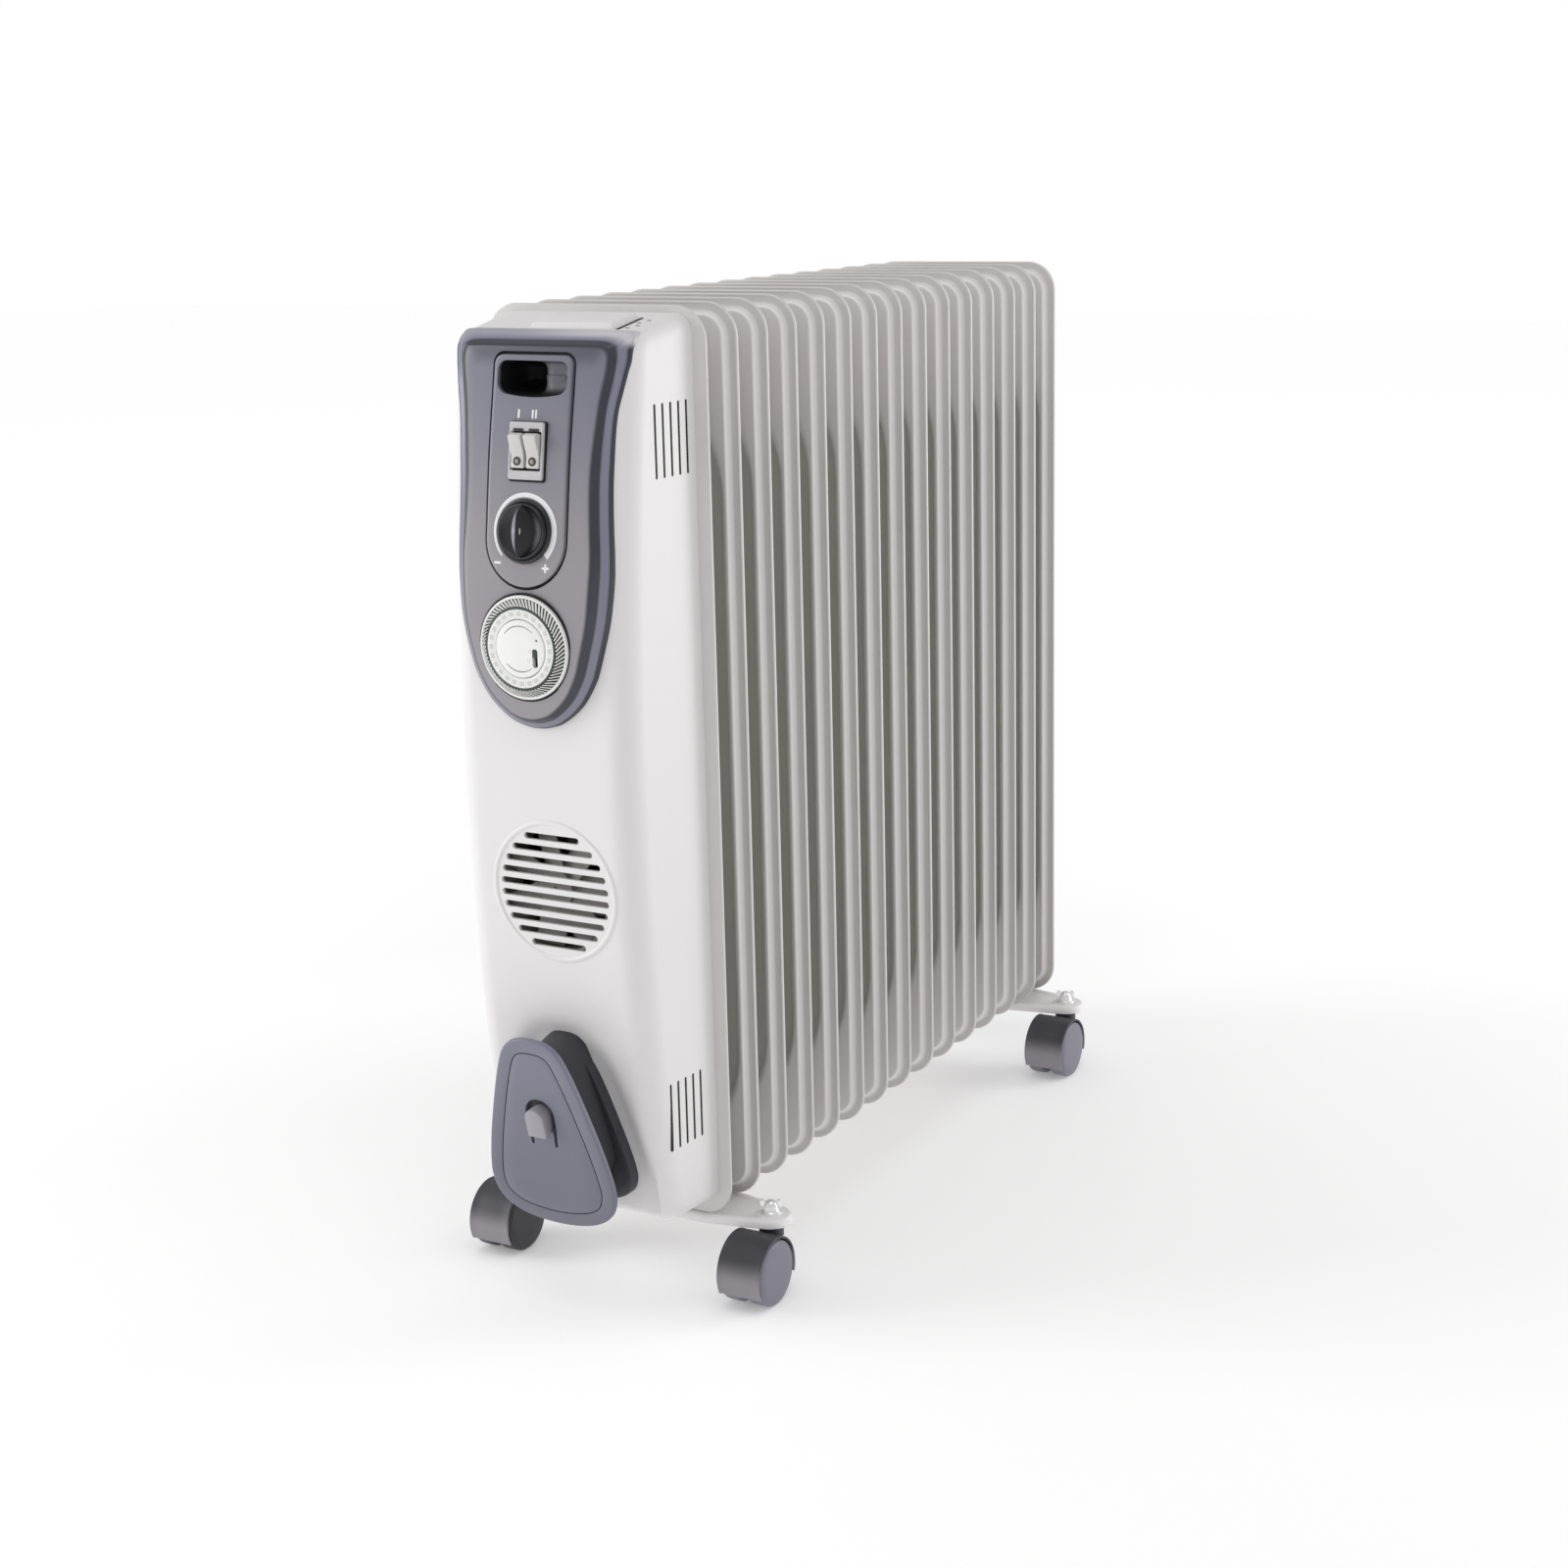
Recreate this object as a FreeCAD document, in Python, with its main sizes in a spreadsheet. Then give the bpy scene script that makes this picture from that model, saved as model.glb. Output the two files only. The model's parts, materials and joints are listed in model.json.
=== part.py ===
import FreeCAD, Part
import Sketcher
import math
import os
import re

# Oil filled radiator heater: 15 pressed steel fins on castors, with a moulded control housing,
# a fan heater and a cord wrap at the front.
# Frame: +X to the right of someone facing the controls, -Y towards them, +Z up, origin on the
# floor under the middle of the object. Millimetres.

V = FreeCAD.Vector
R = FreeCAD.Rotation
P = FreeCAD.Placement

DIMS = [
    # the whole object
    ("length_half", 330.0), ("width_half", 120.0), ("height_top", 670.0),
    # pressed steel fins
    ("fin_half_width", 84.0), ("fin_low", 56.0), ("fin_corner", 23.0), ("rim_thick", 2.4),
    ("pan_inset", 6.0), ("pan_half_thick", 6.0), ("pan_wall", 2.2), ("web_half_width", 68.0),
    ("web_margin", 72.0), ("web_corner", 22.0), ("pan_round", 3.0), ("fin_pitch", 38.4),
    ("rear_fin_y", 320.0), ("rear_pan_thick", 10.0),
    # the two header tubes that join the fins
    ("header_inset", 47.0), ("collar_radius", 25.0), ("header_bore", 18.0),
    # immersion heating element and oil filler plug
    ("rod_radius", 4.0), ("rod_offset", 9.0), ("rod_reach", 440.0), ("flange_radius", 24.0),
    ("flange_thick", 5.0), ("plug_radius", 21.0), ("plug_thick", 6.0),
    # moulded control housing
    ("house_low", 75.0), ("house_top", 656.0), ("house_rear_half", 74.0),
    ("house_front_half", 68.0), ("house_wall", 2.5), ("house_corner", 16.0),
    ("house_edge", 7.0), ("house_front_low", -275.0), ("house_front_mid", -299.7),
    ("house_front_top", -281.0), ("house_front_line", -300.0),
    # ventilation slots in the sides of the housing
    ("vent_gap", 1.8), ("vent_pitch", 8.3), ("vent_tall", 47.0), ("vent_top_z", 588.5),
    ("vent_top_y", -244.0), ("vent_low_z", 143.5), ("vent_low_y", -252.0),
    # fan grille
    ("grille_z", 298.0), ("grille_radius", 42.5), ("slot_tall", 4.3), ("slot_pitch", 8.1),
    # fascia with the controls
    ("fascia_top", 657.0), ("fascia_low", 408.0), ("fascia_y_top", -283.5),
    ("fascia_y_mid", -303.5), ("fascia_y_low", -311.5), ("fascia_edge", 4.0),
    ("insert_half", 29.5), ("insert_top", 643.0), ("insert_low", 500.0), ("insert_proud", 1.2),
    ("insert_thick", 3.5), ("fit_gap", 0.1),
    # recessed hand grip
    ("grip_half", 26.5), ("grip_low", 620.5), ("grip_top", 639.5), ("grip_corner", 6.0),
    ("grip_depth", 26.0), ("grip_wall", 1.8),
    # rocker switches
    ("bezel_half", 13.0), ("bezel_low", 566.5), ("bezel_top", 602.5), ("rocker_x", 5.9),
    ("rocker_half", 5.2), ("rocker_tall", 22.0), ("rocker_z", 585.0), ("rocker_axis_y", -293.0),
    # thermostat
    ("knob_z", 535.0), ("knob_radius", 20.4), ("knob_base_y", -305.6), ("knob_thick", 6.0),
    ("ridge_height", 6.0), ("ridge_half", 7.5), ("shaft_radius", 3.0),
    # 24 hour timer
    ("timer_z", 462.0), ("timer_hole", 34.5), ("dial_y", -311.5), ("ring_outer", 32.5),
    ("ring_inner", 26.2), ("dial_outer", 26.0), ("dial_inner", 19.0), ("face_radius", 18.6),
    ("slider_x", 11.2), ("slider_low", -11.4),
    # fan heater behind the grille
    ("shroud_half", 46.0), ("shroud_bore", 42.0), ("impeller_radius", 40.5),
    ("motor_radius", 17.0), ("blade_count", 7),
    # cord wrap
    ("wrap_low_half", 49.0), ("wrap_top_half", 24.0), ("wrap_plate_thick", 4.0),
    ("wrap_tilt", 11.0), ("wrap_front_y", -330.0), ("wrap_front_z", 206.0),
    # feet and castors
    ("foot_top", 56.0), ("foot_sheet", 2.5), ("foot_drop", 6.5), ("foot_tip", 15.0),
    ("foot_root_half", 24.0), ("stem_x", 103.0), ("stem_radius", 4.0), ("ubolt_rod", 2.5),
    ("castor_trail", 22.0), ("wheel_radius", 23.0), ("wheel_wide", 13.8), ("wheel_inner_x", 3.2),
    ("hood_radius", 25.4), ("hood_bore", 23.8), ("hood_half_width", 16.4), ("axle_radius", 2.5),
]

doc = FreeCAD.newDocument("oil_radiator")
sheet = doc.addObject("Spreadsheet::Sheet", "Dimensions")
for row, (alias, value) in enumerate(DIMS, 1):
    sheet.set("A%d" % row, alias)
    sheet.set("B%d" % row, str(value))
    sheet.setAlias("B%d" % row, alias)
doc.recompute()

ALIASES = {alias for alias, _ in DIMS}
nodes = {}


def val(text):
    """The number that an expression over the sheet's aliases stands for."""
    return float(sheet.evalExpression(str(text)))


def full(text):
    """The same expression, as another object of the document has to write it."""
    return re.sub(r"[A-Za-z_]+", lambda m: "Dimensions." + m.group(0)
                  if m.group(0) in ALIASES else m.group(0), str(text))


def bind(obj, prop, text):
    obj.setExpression(prop, full(text))


def keep(obj, label):
    """Register an object as one exported piece of the assembly."""
    obj.Label = label
    nodes[label] = obj
    return obj


# ---------------------------------------------------------------- sketches and features

def new_body(name):
    body = doc.addObject("PartDesign::Body", name)
    body.AllowCompound = True
    return body


def new_sketch(body, role, offset="0"):
    """A sketch on one of the body's own planes, moved along the plane's normal."""
    plane = [f for f in body.Origin.OriginFeatures if f.Role == role][0]
    sk = body.newObject("Sketcher::SketchObject", "sk")
    sk.AttachmentSupport = [(plane, "")]
    sk.MapMode = "FlatFace"
    if offset != "0":
        sk.AttachmentOffset = P(V(0, 0, val(offset)), R())
        bind(sk, "AttachmentOffset.Base.z", offset)
    return sk


def pin(sk, geo, point, x, y):
    """Hold one sketch point at (x, y), each an expression."""
    for kind, axis, text in (("DistanceX", -2, x), ("DistanceY", -1, y)):
        number = val(text)
        if abs(number) < 1e-9:
            sk.addConstraint(Sketcher.Constraint("PointOnObject", geo, point, axis))
            continue
        i = sk.addConstraint(Sketcher.Constraint(kind, -1, 1, geo, point, number))
        if re.search("[a-z]", str(text)):
            bind(sk, "Constraints[%d]" % i, text)


def circle(sk, x, y, radius):
    g = sk.addGeometry(Part.Circle(V(val(x), val(y), 0), V(0, 0, 1), val(radius)), False)
    pin(sk, g, 3, x, y)
    i = sk.addConstraint(Sketcher.Constraint("Radius", g, val(radius)))
    if re.search("[a-z]", str(radius)):
        bind(sk, "Constraints[%d]" % i, radius)


def polygon(sk, points):
    """Straight-sided closed outline; every corner is held by expressions."""
    count = len(points)
    xy = [V(val(x), val(y), 0) for x, y in points]
    ids = [sk.addGeometry(Part.LineSegment(xy[k], xy[(k + 1) % count]), False)
           for k in range(count)]
    for k in range(count):
        sk.addConstraint(Sketcher.Constraint("Coincident", ids[k], 2, ids[(k + 1) % count], 1))
        pin(sk, ids[k], 1, *points[k])


def rectangle(sk, x0, x1, y0, y1):
    polygon(sk, [(x0, y0), (x1, y0), (x1, y1), (x0, y1)])


def rounded(sk, x0, x1, y0, y1, radius):
    """Rectangle with round corners, every corner point held by expressions."""
    def inner(text, sign):
        return "(%s) %s (%s)" % (text, sign, radius)
    corners = [(x1, y1, "-", "-", 0), (x0, y1, "+", "-", 90),
               (x0, y0, "+", "+", 180), (x1, y0, "-", "+", 270)]
    arcs = []
    for x, y, sx, sy, start in corners:
        centre = V(val(inner(x, sx)), val(inner(y, sy)), 0)
        curve = Part.Circle(centre, V(0, 0, 1), val(radius))
        a0 = math.radians(start)
        g = sk.addGeometry(Part.ArcOfCircle(curve, a0, a0 + math.pi / 2), False)
        ends = ((x, inner(y, sy)), (inner(x, sx), y))
        if start in (90, 270):
            ends = ends[::-1]
        for point, (px, py) in zip((1, 2), ends):
            pin(sk, g, point, px, py)
        i = sk.addConstraint(Sketcher.Constraint("Radius", g, val(radius)))
        if re.search("[a-z]", str(radius)):
            bind(sk, "Constraints[%d]" % i, radius)
        arcs.append(g)
    for k in range(4):
        a, b = arcs[k], arcs[(k + 1) % 4]
        p0 = sk.getPoint(a, 2)
        p1 = sk.getPoint(b, 1)
        g = sk.addGeometry(Part.LineSegment(p0, p1), False)
        sk.addConstraint(Sketcher.Constraint("Coincident", a, 2, g, 1))
        sk.addConstraint(Sketcher.Constraint("Coincident", g, 2, b, 1))


def spline(sk, points, close_to=None):
    """Smooth curve through fixed points, optionally closed by straight lines."""
    curve = Part.BSplineCurve()
    closed = close_to is None
    curve.interpolate([V(x, y, 0) for x, y in points], PeriodicFlag=closed)
    sk.addGeometry(curve, False)
    if closed:
        return
    corners = [points[-1]] + list(close_to) + [points[0]]
    for (x0, y0), (x1, y1) in zip(corners, corners[1:]):
        sk.addGeometry(Part.LineSegment(V(x0, y0, 0), V(x1, y1, 0)), False)


def pad(body, sk, length, midplane=False, reverse=False):
    f = body.newObject("PartDesign::Pad", "pad")
    f.Profile = sk
    f.Length = val(length)
    bind(f, "Length", length)
    if midplane:
        f.SideType = "Symmetric"
    f.Reversed = reverse
    body.Tip = f
    return f


def pocket(body, sk, length, midplane=False, reverse=False):
    """Cut a sketch out of the body and make sure that it did remove material."""
    doc.recompute()
    before = body.Shape.Volume
    f = body.newObject("PartDesign::Pocket", "pocket")
    f.Profile = sk
    f.Length = val(length)
    bind(f, "Length", length)
    if midplane:
        f.SideType = "Symmetric"
    f.Reversed = reverse
    body.Tip = f
    doc.recompute()
    if not body.Shape.Volume < before - 1e-3:
        raise RuntimeError("pocket removed nothing from " + body.Name)
    return f


def revolve(body, sk, axis):
    f = body.newObject("PartDesign::Revolution", "rev")
    f.Profile = sk
    f.ReferenceAxis = (sk, [axis])
    f.Angle = 360
    body.Tip = f
    return f


def dress(body, kind, test, prop, size):
    """Fillet or chamfer the edges of the body for which test(edge) is true."""
    doc.recompute()
    shape = body.Shape
    names = ["Edge%d" % (k + 1) for k, e in enumerate(shape.Edges) if test(e)]
    if not names:
        raise RuntimeError("no edges found on " + body.Name)
    base = body.Tip
    f = body.newObject("PartDesign::" + kind, kind.lower())
    f.Base = (base, names)
    setattr(f, prop, val(size))
    bind(f, prop, size)
    body.Tip = f
    doc.recompute()
    if not f.isValid():
        raise RuntimeError("%s failed on %s" % (kind, body.Name))
    return f


def cylinder(name, radius, height, base, axis=V(0, 0, 1)):
    c = doc.addObject("Part::Cylinder", name)
    bind(c, "Radius", radius)
    bind(c, "Height", height)
    c.Placement = P(V(*base), R(V(0, 0, 1), axis))
    return c


def box(name, size, corner):
    b = doc.addObject("Part::Box", name)
    for prop, text in zip(("Length", "Width", "Height"), size):
        bind(b, prop, text)
    b.Placement = P(V(*corner), R())
    return b


def combine(kind, name, *parts):
    """Boolean of two or more objects: Fuse, Cut or Common."""
    if kind == "Cut" and len(parts) > 2:
        tool = doc.addObject("Part::MultiFuse", name + "_tools")
        tool.Shapes = list(parts[1:])
        parts = (parts[0], tool)
    if kind == "Fuse":
        f = doc.addObject("Part::MultiFuse", name)
        f.Shapes = list(parts)
        return f
    f = doc.addObject("Part::" + kind, name)
    f.Base, f.Tool = parts
    return f


def group(label, source, placements):
    """Several separate copies of one solid, kept together as one piece of the list."""
    links = []
    for k, placement in enumerate(placements):
        link = doc.addObject("App::Link", "%s_copy_%d" % (label, k + 1))
        link.LinkedObject = source
        link.LinkTransform = False
        link.Placement = placement
        links.append(link)
    g = doc.addObject("Part::Compound", label)
    g.Links = links
    return keep(g, label)


# ---------------------------------------------------------------- fins and headers

FIN_MID_Z = (val("fin_low") + val("height_top")) / 2
FIN_Y = [val("rear_fin_y") - val("fin_pitch") * k for k in range(14, -1, -1)]
HALF_TALL = "(height_top - fin_low) / 2"
HEADER = "((height_top - fin_low) / 2 - header_inset)"
HEADER_Z = {"lower": val("fin_low + header_inset"), "upper": val("height_top - header_inset")}


def window(sk, grow="0"):
    """Flat web between the raised oil channels."""
    tall = HALF_TALL + " - web_margin + " + grow
    rounded(sk, "-web_half_width - " + grow, "web_half_width + " + grow,
            "-(%s)" % tall, tall, "web_corner + " + grow)


def pan_outline(sk, inset):
    wide = "fin_half_width - pan_inset - " + inset
    tall = HALF_TALL + " - pan_inset - " + inset
    rounded(sk, "-(%s)" % wide, wide, "-(%s)" % tall, tall,
            "fin_corner - pan_inset - " + inset)


def make_fin(name, front_side, rear_side, bore_through, rear_thick="pan_half_thick"):
    """Two pressed sheets welded at the rim; the raised pans hold the oil."""
    thick = {False: "pan_half_thick", True: rear_thick}
    body = new_body(name)
    sk = new_sketch(body, "XZ_Plane")
    rounded(sk, "-fin_half_width", "fin_half_width", "-" + HALF_TALL, HALF_TALL, "fin_corner")
    pad(body, sk, "rim_thick", midplane=True)
    for wanted, reverse, sign in ((front_side, False, -1), (rear_side, True, 1)):
        if not wanted:
            continue
        sk = new_sketch(body, "XZ_Plane")
        pan_outline(sk, "0")
        window(sk)
        pad(body, sk, thick[reverse], reverse=reverse)
        y_face = sign * val(thick[reverse])

        def on_face(e, y_face=y_face):
            box = e.BoundBox
            return abs(box.YMin - y_face) < 1e-4 and abs(box.YMax - y_face) < 1e-4
        dress(body, "Fillet", on_face, "Radius", "pan_round")
    # oil space inside the pans
    for wanted, reverse in ((front_side, False), (rear_side, True)):
        if not wanted:
            continue
        sk = new_sketch(body, "XZ_Plane")
        pan_outline(sk, "pan_wall")
        window(sk, "pan_wall")
        pocket(body, sk, thick[reverse] + " - pan_wall", reverse=not reverse)
    # header openings
    for z in (HEADER, "-" + HEADER):
        sk = new_sketch(body, "XZ_Plane")
        circle(sk, "0", z, "header_bore")
        if bore_through:
            pocket(body, sk, "2 * pan_half_thick + 2", midplane=True)
        else:
            pocket(body, sk, "pan_half_thick + 1", reverse=True)
    return body


front = keep(make_fin("front_fin_body", False, True, True), "front_fin")
front.Placement = P(V(0, FIN_Y[0], FIN_MID_Z), R())
middle = make_fin("middle_fin_body", True, True, True)
group("middle_fins", middle, [P(V(0, y, FIN_MID_Z), R()) for y in FIN_Y[1:14]])
rear = keep(make_fin("rear_fin_body", True, True, False, "rear_pan_thick"), "rear_fin")
rear.Placement = P(V(0, FIN_Y[14], FIN_MID_Z), R())

collar = new_body("collar_body")
sk = new_sketch(collar, "XZ_Plane")
circle(sk, "0", "0", "collar_radius")
circle(sk, "0", "0", "header_bore")
pad(collar, sk, "fin_pitch - 2 * pan_half_thick", midplane=True)
for level in ("upper", "lower"):
    group(level + "_header_collars", collar,
          [P(V(0, y + val("fin_pitch") / 2, HEADER_Z[level]), R()) for y in FIN_Y[:14]])

# ---------------------------------------------------------------- heating element and plug

RIM_FRONT = FIN_Y[0] - val("rim_thick") / 2
element = keep(new_body("element_body"), "heating_element")
sk = new_sketch(element, "XZ_Plane")
circle(sk, "0", "0", "flange_radius")
pad(element, sk, "flange_thick")
rod, arc = val("rod_offset"), val("rod_reach")
path = new_sketch(element, "YZ_Plane")
path.addGeometry(Part.LineSegment(V(-1, rod, 0), V(arc, rod, 0)), False)
path.addGeometry(Part.ArcOfCircle(Part.Circle(V(arc, 0, 0), V(0, 0, 1), rod),
                                  -math.pi / 2, math.pi / 2), False)
path.addGeometry(Part.LineSegment(V(arc, -rod, 0), V(-1, -rod, 0)), False)
ring = new_sketch(element, "XZ_Plane", "1")
circle(ring, "0", "rod_offset", "rod_radius")
pipe = element.newObject("PartDesign::AdditivePipe", "rods")
pipe.Profile = ring
pipe.Spine = (path, ["Edge1", "Edge2", "Edge3"])
element.Tip = pipe
sk = new_sketch(element, "XZ_Plane", "flange_thick")
for x in ("-8", "8"):
    circle(sk, x, "0", "2.5")
pad(element, sk, "12")
element.Placement = P(V(0, RIM_FRONT, HEADER_Z["lower"]), R())

plug = keep(new_body("plug_body"), "oil_filler_plug")
sk = new_sketch(plug, "XZ_Plane")
circle(sk, "0", "0", "plug_radius")
pad(plug, sk, "plug_thick")
sk = new_sketch(plug, "XZ_Plane")
circle(sk, "0", "0", "header_bore - fit_gap")
pad(plug, sk, "8", reverse=True)
sk = new_sketch(plug, "XZ_Plane", "plug_thick")
rectangle(sk, "-8", "8", "-8", "8")
pad(plug, sk, "4")
plug.Placement = P(V(0, RIM_FRONT, HEADER_Z["upper"]), R())

# ---------------------------------------------------------------- control housing


def arc_cut(sk, low, mid, high, far):
    """Region in front of the bowed front line through three (y, z) points."""
    a, b, c = (V(y, z, 0) for y, z in (low, mid, high))
    sk.addGeometry(Part.Arc(a, b, c), False)
    corners = [c, V(far, c.y, 0), V(far, a.y, 0), a]
    for p0, p1 in zip(corners, corners[1:]):
        sk.addGeometry(Part.LineSegment(p0, p1), False)


HOUSE_LOW, HOUSE_TOP = val("house_low"), val("house_top")
HOUSE_MID = (HOUSE_LOW + HOUSE_TOP) / 2


def house_line(z, inset=0.0):
    """Y of the bowed front of the housing at height z."""
    arc_edge = Part.Arc(V(val("house_front_low"), HOUSE_LOW, 0),
                        V(val("house_front_mid"), HOUSE_MID, 0),
                        V(val("house_front_top"), HOUSE_TOP, 0))
    circle_of = arc_edge.toShape().Curve
    centre, radius = circle_of.Center, circle_of.Radius
    return centre.x - math.sqrt(radius ** 2 - (z - centre.y) ** 2) + inset


def make_block(name, inset, rear_y):
    """The outer form of the housing, or the same form drawn in by the wall thickness."""
    body = new_body(name)
    gap = "house_wall" if inset else "0"
    slope = "(house_rear_half - house_front_half) / 81.2"
    sk = new_sketch(body, "XY_Plane", "house_low + " + gap)
    deep = "(-330)"
    front_half = "house_rear_half - %s - 111.2 * %s" % (gap, slope)
    rear_half = "house_rear_half - %s + (%g) * %s" % (gap, rear_y - RIM_FRONT, slope)
    polygon(sk, [("-(%s)" % rear_half, str(rear_y)), (rear_half, str(rear_y)),
                 (front_half, deep), ("-(%s)" % front_half, deep)])
    pad(body, sk, "house_top - house_low - 2 * " + gap)
    step = val(gap)
    sk = new_sketch(body, "YZ_Plane")
    z_low, z_top = HOUSE_LOW - 20, HOUSE_TOP + 20
    arc_cut(sk, (house_line(z_low, step), z_low), (house_line(HOUSE_MID, step), HOUSE_MID),
            (house_line(z_top, step), z_top), -345.0)
    pocket(body, sk, "400", midplane=True)

    def upright(e):
        box = e.BoundBox
        return box.ZLength > 400 and box.YMin < -270
    dress(body, "Fillet", upright, "Radius", "house_corner - " + gap)

    def rim(e):
        box = e.BoundBox
        return box.ZLength < 1e-3 and box.YMin < rear_y - 1 and box.ZMin > 0
    dress(body, "Fillet", rim, "Radius", "house_edge - " + gap)
    return body


outer = make_block("housing_outer", False, RIM_FRONT)
inner = make_block("housing_inner", True, RIM_FRONT + 1)
shell = combine("Cut", "housing_shell", outer, inner)

doc.recompute()
housing = keep(new_body("control_housing_body"), "control_housing")
housing.BaseFeature = shell
doc.recompute()

# grille slots: each follows the edge of a circle
sk = new_sketch(housing, "XZ_Plane", "250")
for k in range(10):
    dz = (k - 4.5) * val("slot_pitch")
    half = math.sqrt(val("grille_radius") ** 2 - dz ** 2) - 2.0
    half = max(half, 9.0)
    z_mid = "grille_z + %g * slot_pitch" % (k - 4.5)
    rounded(sk, "-%g" % half, "%g" % half, z_mid + " - slot_tall / 2", z_mid + " + slot_tall / 2",
            "slot_tall * 0.49")
pocket(housing, sk, "80", reverse=True)
# side ventilation slots
for level in ("top", "low"):
    sk = new_sketch(housing, "YZ_Plane")
    for k in range(5):
        y_mid = "vent_%s_y + %d * vent_pitch" % (level, k - 2)
        rounded(sk, y_mid + " - vent_gap / 2", y_mid + " + vent_gap / 2",
                "vent_%s_z - vent_tall / 2" % level, "vent_%s_z + vent_tall / 2" % level,
                "vent_gap * 0.49")
    pocket(housing, sk, "400", midplane=True)
# window behind the fascia for the grip, the switches, the thermostat and the timer
sk = new_sketch(housing, "XZ_Plane", "262")
rounded(sk, "-41", "41", "426", "643.5", "12")
pocket(housing, sk, "60", reverse=True)
# opening in the roof under the cover, cord outlet and screw holes in the floor
sk = new_sketch(housing, "XY_Plane", "640")
rectangle(sk, "-24", "24", "-256", "-234")
pocket(housing, sk, "30", reverse=True)
sk = new_sketch(housing, "XY_Plane", "60")
circle(sk, "38", "-246", "8.1")
circle(sk, "-50", "-232", "1.8")
circle(sk, "50", "-232", "1.8")
pocket(housing, sk, "30", reverse=True)

cover = keep(new_body("cover_body"), "top_vent_cover")
sk = new_sketch(cover, "XY_Plane")
rounded(sk, "-33", "33", "-17", "17", "4")
pad(cover, sk, "3.6")
dress(cover, "Chamfer", lambda e: e.BoundBox.ZMin > 3.5, "Size", "2.2")
sk = new_sketch(cover, "XY_Plane")
rounded(sk, "-22", "22", "-9", "9", "3")
pad(cover, sk, "2", reverse=True)
cover.Placement = P(V(0, -245, HOUSE_TOP), R())

# ---------------------------------------------------------------- fascia and control insert

FASCIA_SIDE = [(58.6, 648.0), (58.4, 622.0), (57.2, 600.0), (56.9, 578.0), (57.6, 556.0),
               (58.8, 537.0), (59.2, 520.0), (58.4, 500.0), (56.0, 480.0), (51.8, 458.0),
               (45.4, 441.0), (36.4, 426.0), (26.0, 416.6), (14.0, 410.4)]


def fascia_outline(sk, top):
    right = [(56.0, top)] + FASCIA_SIDE
    left = [(-x, z) for x, z in right[::-1]]
    spline(sk, right + [(0.0, val("fascia_low"))] + left, close_to=[])


def front_curve(shift):
    """Bowed front line of the fascia, moved forward or back by shift."""
    rows = [(val("fascia_y_top") + 3.5, 690.0), (val("fascia_y_top"), 657.0),
            (-296.3, 586.0), (val("fascia_y_mid"), 537.0), (-310.4, 480.0),
            (val("fascia_y_low"), 452.0), (-310.8, 430.0), (-308.0, 400.0), (-303.0, 380.0)]
    return [(y + shift, z) for y, z in rows]


def cut_front(body, shift, width="200"):
    """Remove everything in front of the bowed line."""
    sk = new_sketch(body, "YZ_Plane")
    spline(sk, front_curve(shift), close_to=[(-360.0, 380.0), (-360.0, 690.0)])
    pocket(body, sk, width, midplane=True)


fascia_block = new_body("fascia_block")
sk = new_sketch(fascia_block, "XZ_Plane", "271")
fascia_outline(sk, val("fascia_top"))
pad(fascia_block, sk, "80")
cut_front(fascia_block, 0.0)
dress(fascia_block, "Fillet",
      lambda e: e.BoundBox.YMax < -281.5 and e.BoundBox.ZLength > 100 and e.BoundBox.YLength < 40,
      "Radius", "fascia_edge")
fascia_cut = combine("Cut", "fascia_cut", fascia_block, outer)
doc.recompute()
fascia = keep(new_body("fascia_body"), "fascia")
fascia.BaseFeature = fascia_cut
doc.recompute()


def tongue(sk, gap):
    """Slot with a square-cornered top and a round bottom."""
    half = val("insert_half") + gap
    top, low = val("insert_top") + gap, val("insert_low") - gap
    r, c = 6.0, low + half
    sk.addGeometry(Part.Arc(V(-half, c, 0), V(0, low, 0), V(half, c, 0)), False)
    s = math.sqrt(0.5)
    sk.addGeometry(Part.LineSegment(V(half, c, 0), V(half, top - r, 0)), False)
    sk.addGeometry(Part.Arc(V(half, top - r, 0), V(half - r + r * s, top - r + r * s, 0),
                            V(half - r, top, 0)), False)
    sk.addGeometry(Part.LineSegment(V(half - r, top, 0), V(-half + r, top, 0)), False)
    sk.addGeometry(Part.Arc(V(-half + r, top, 0), V(-half + r - r * s, top - r + r * s, 0),
                            V(-half, top - r, 0)), False)
    sk.addGeometry(Part.LineSegment(V(-half, top - r, 0), V(-half, c, 0)), False)


sk = new_sketch(fascia, "XZ_Plane", "262")
tongue(sk, val("fit_gap"))
circle(sk, "0", "timer_z", "timer_hole")
pocket(fascia, sk, "80", reverse=True)
sk = new_sketch(fascia, "XZ_Plane", "262")
rounded(sk, "-30.5", "30.5", "timer_z - 28.5", "timer_z + 28.5", "5")
pocket(fascia, sk, "-262 - dial_y - 5.2", reverse=True)

insert = keep(new_body("insert_body"), "control_insert")
sk = new_sketch(insert, "XZ_Plane", "262")
tongue(sk, 0.0)
pad(insert, sk, "80")
cut_front(insert, -val("insert_proud"))
sk = new_sketch(insert, "YZ_Plane")
back = front_curve(val("insert_thick"))
spline(sk, back, close_to=[(-240.0, 380.0), (-240.0, 690.0)])
pocket(insert, sk, "200", midplane=True)
sk = new_sketch(insert, "XZ_Plane", "262")
rounded(sk, "-grip_half", "grip_half", "grip_low", "grip_top", "grip_corner")
rectangle(sk, "-bezel_half + 0.7", "bezel_half - 0.7", "bezel_low + 3.6", "bezel_top - 3.6")
circle(sk, "0", "knob_z", "shaft_radius + 1.8")
pocket(insert, sk, "80", reverse=True)

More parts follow.
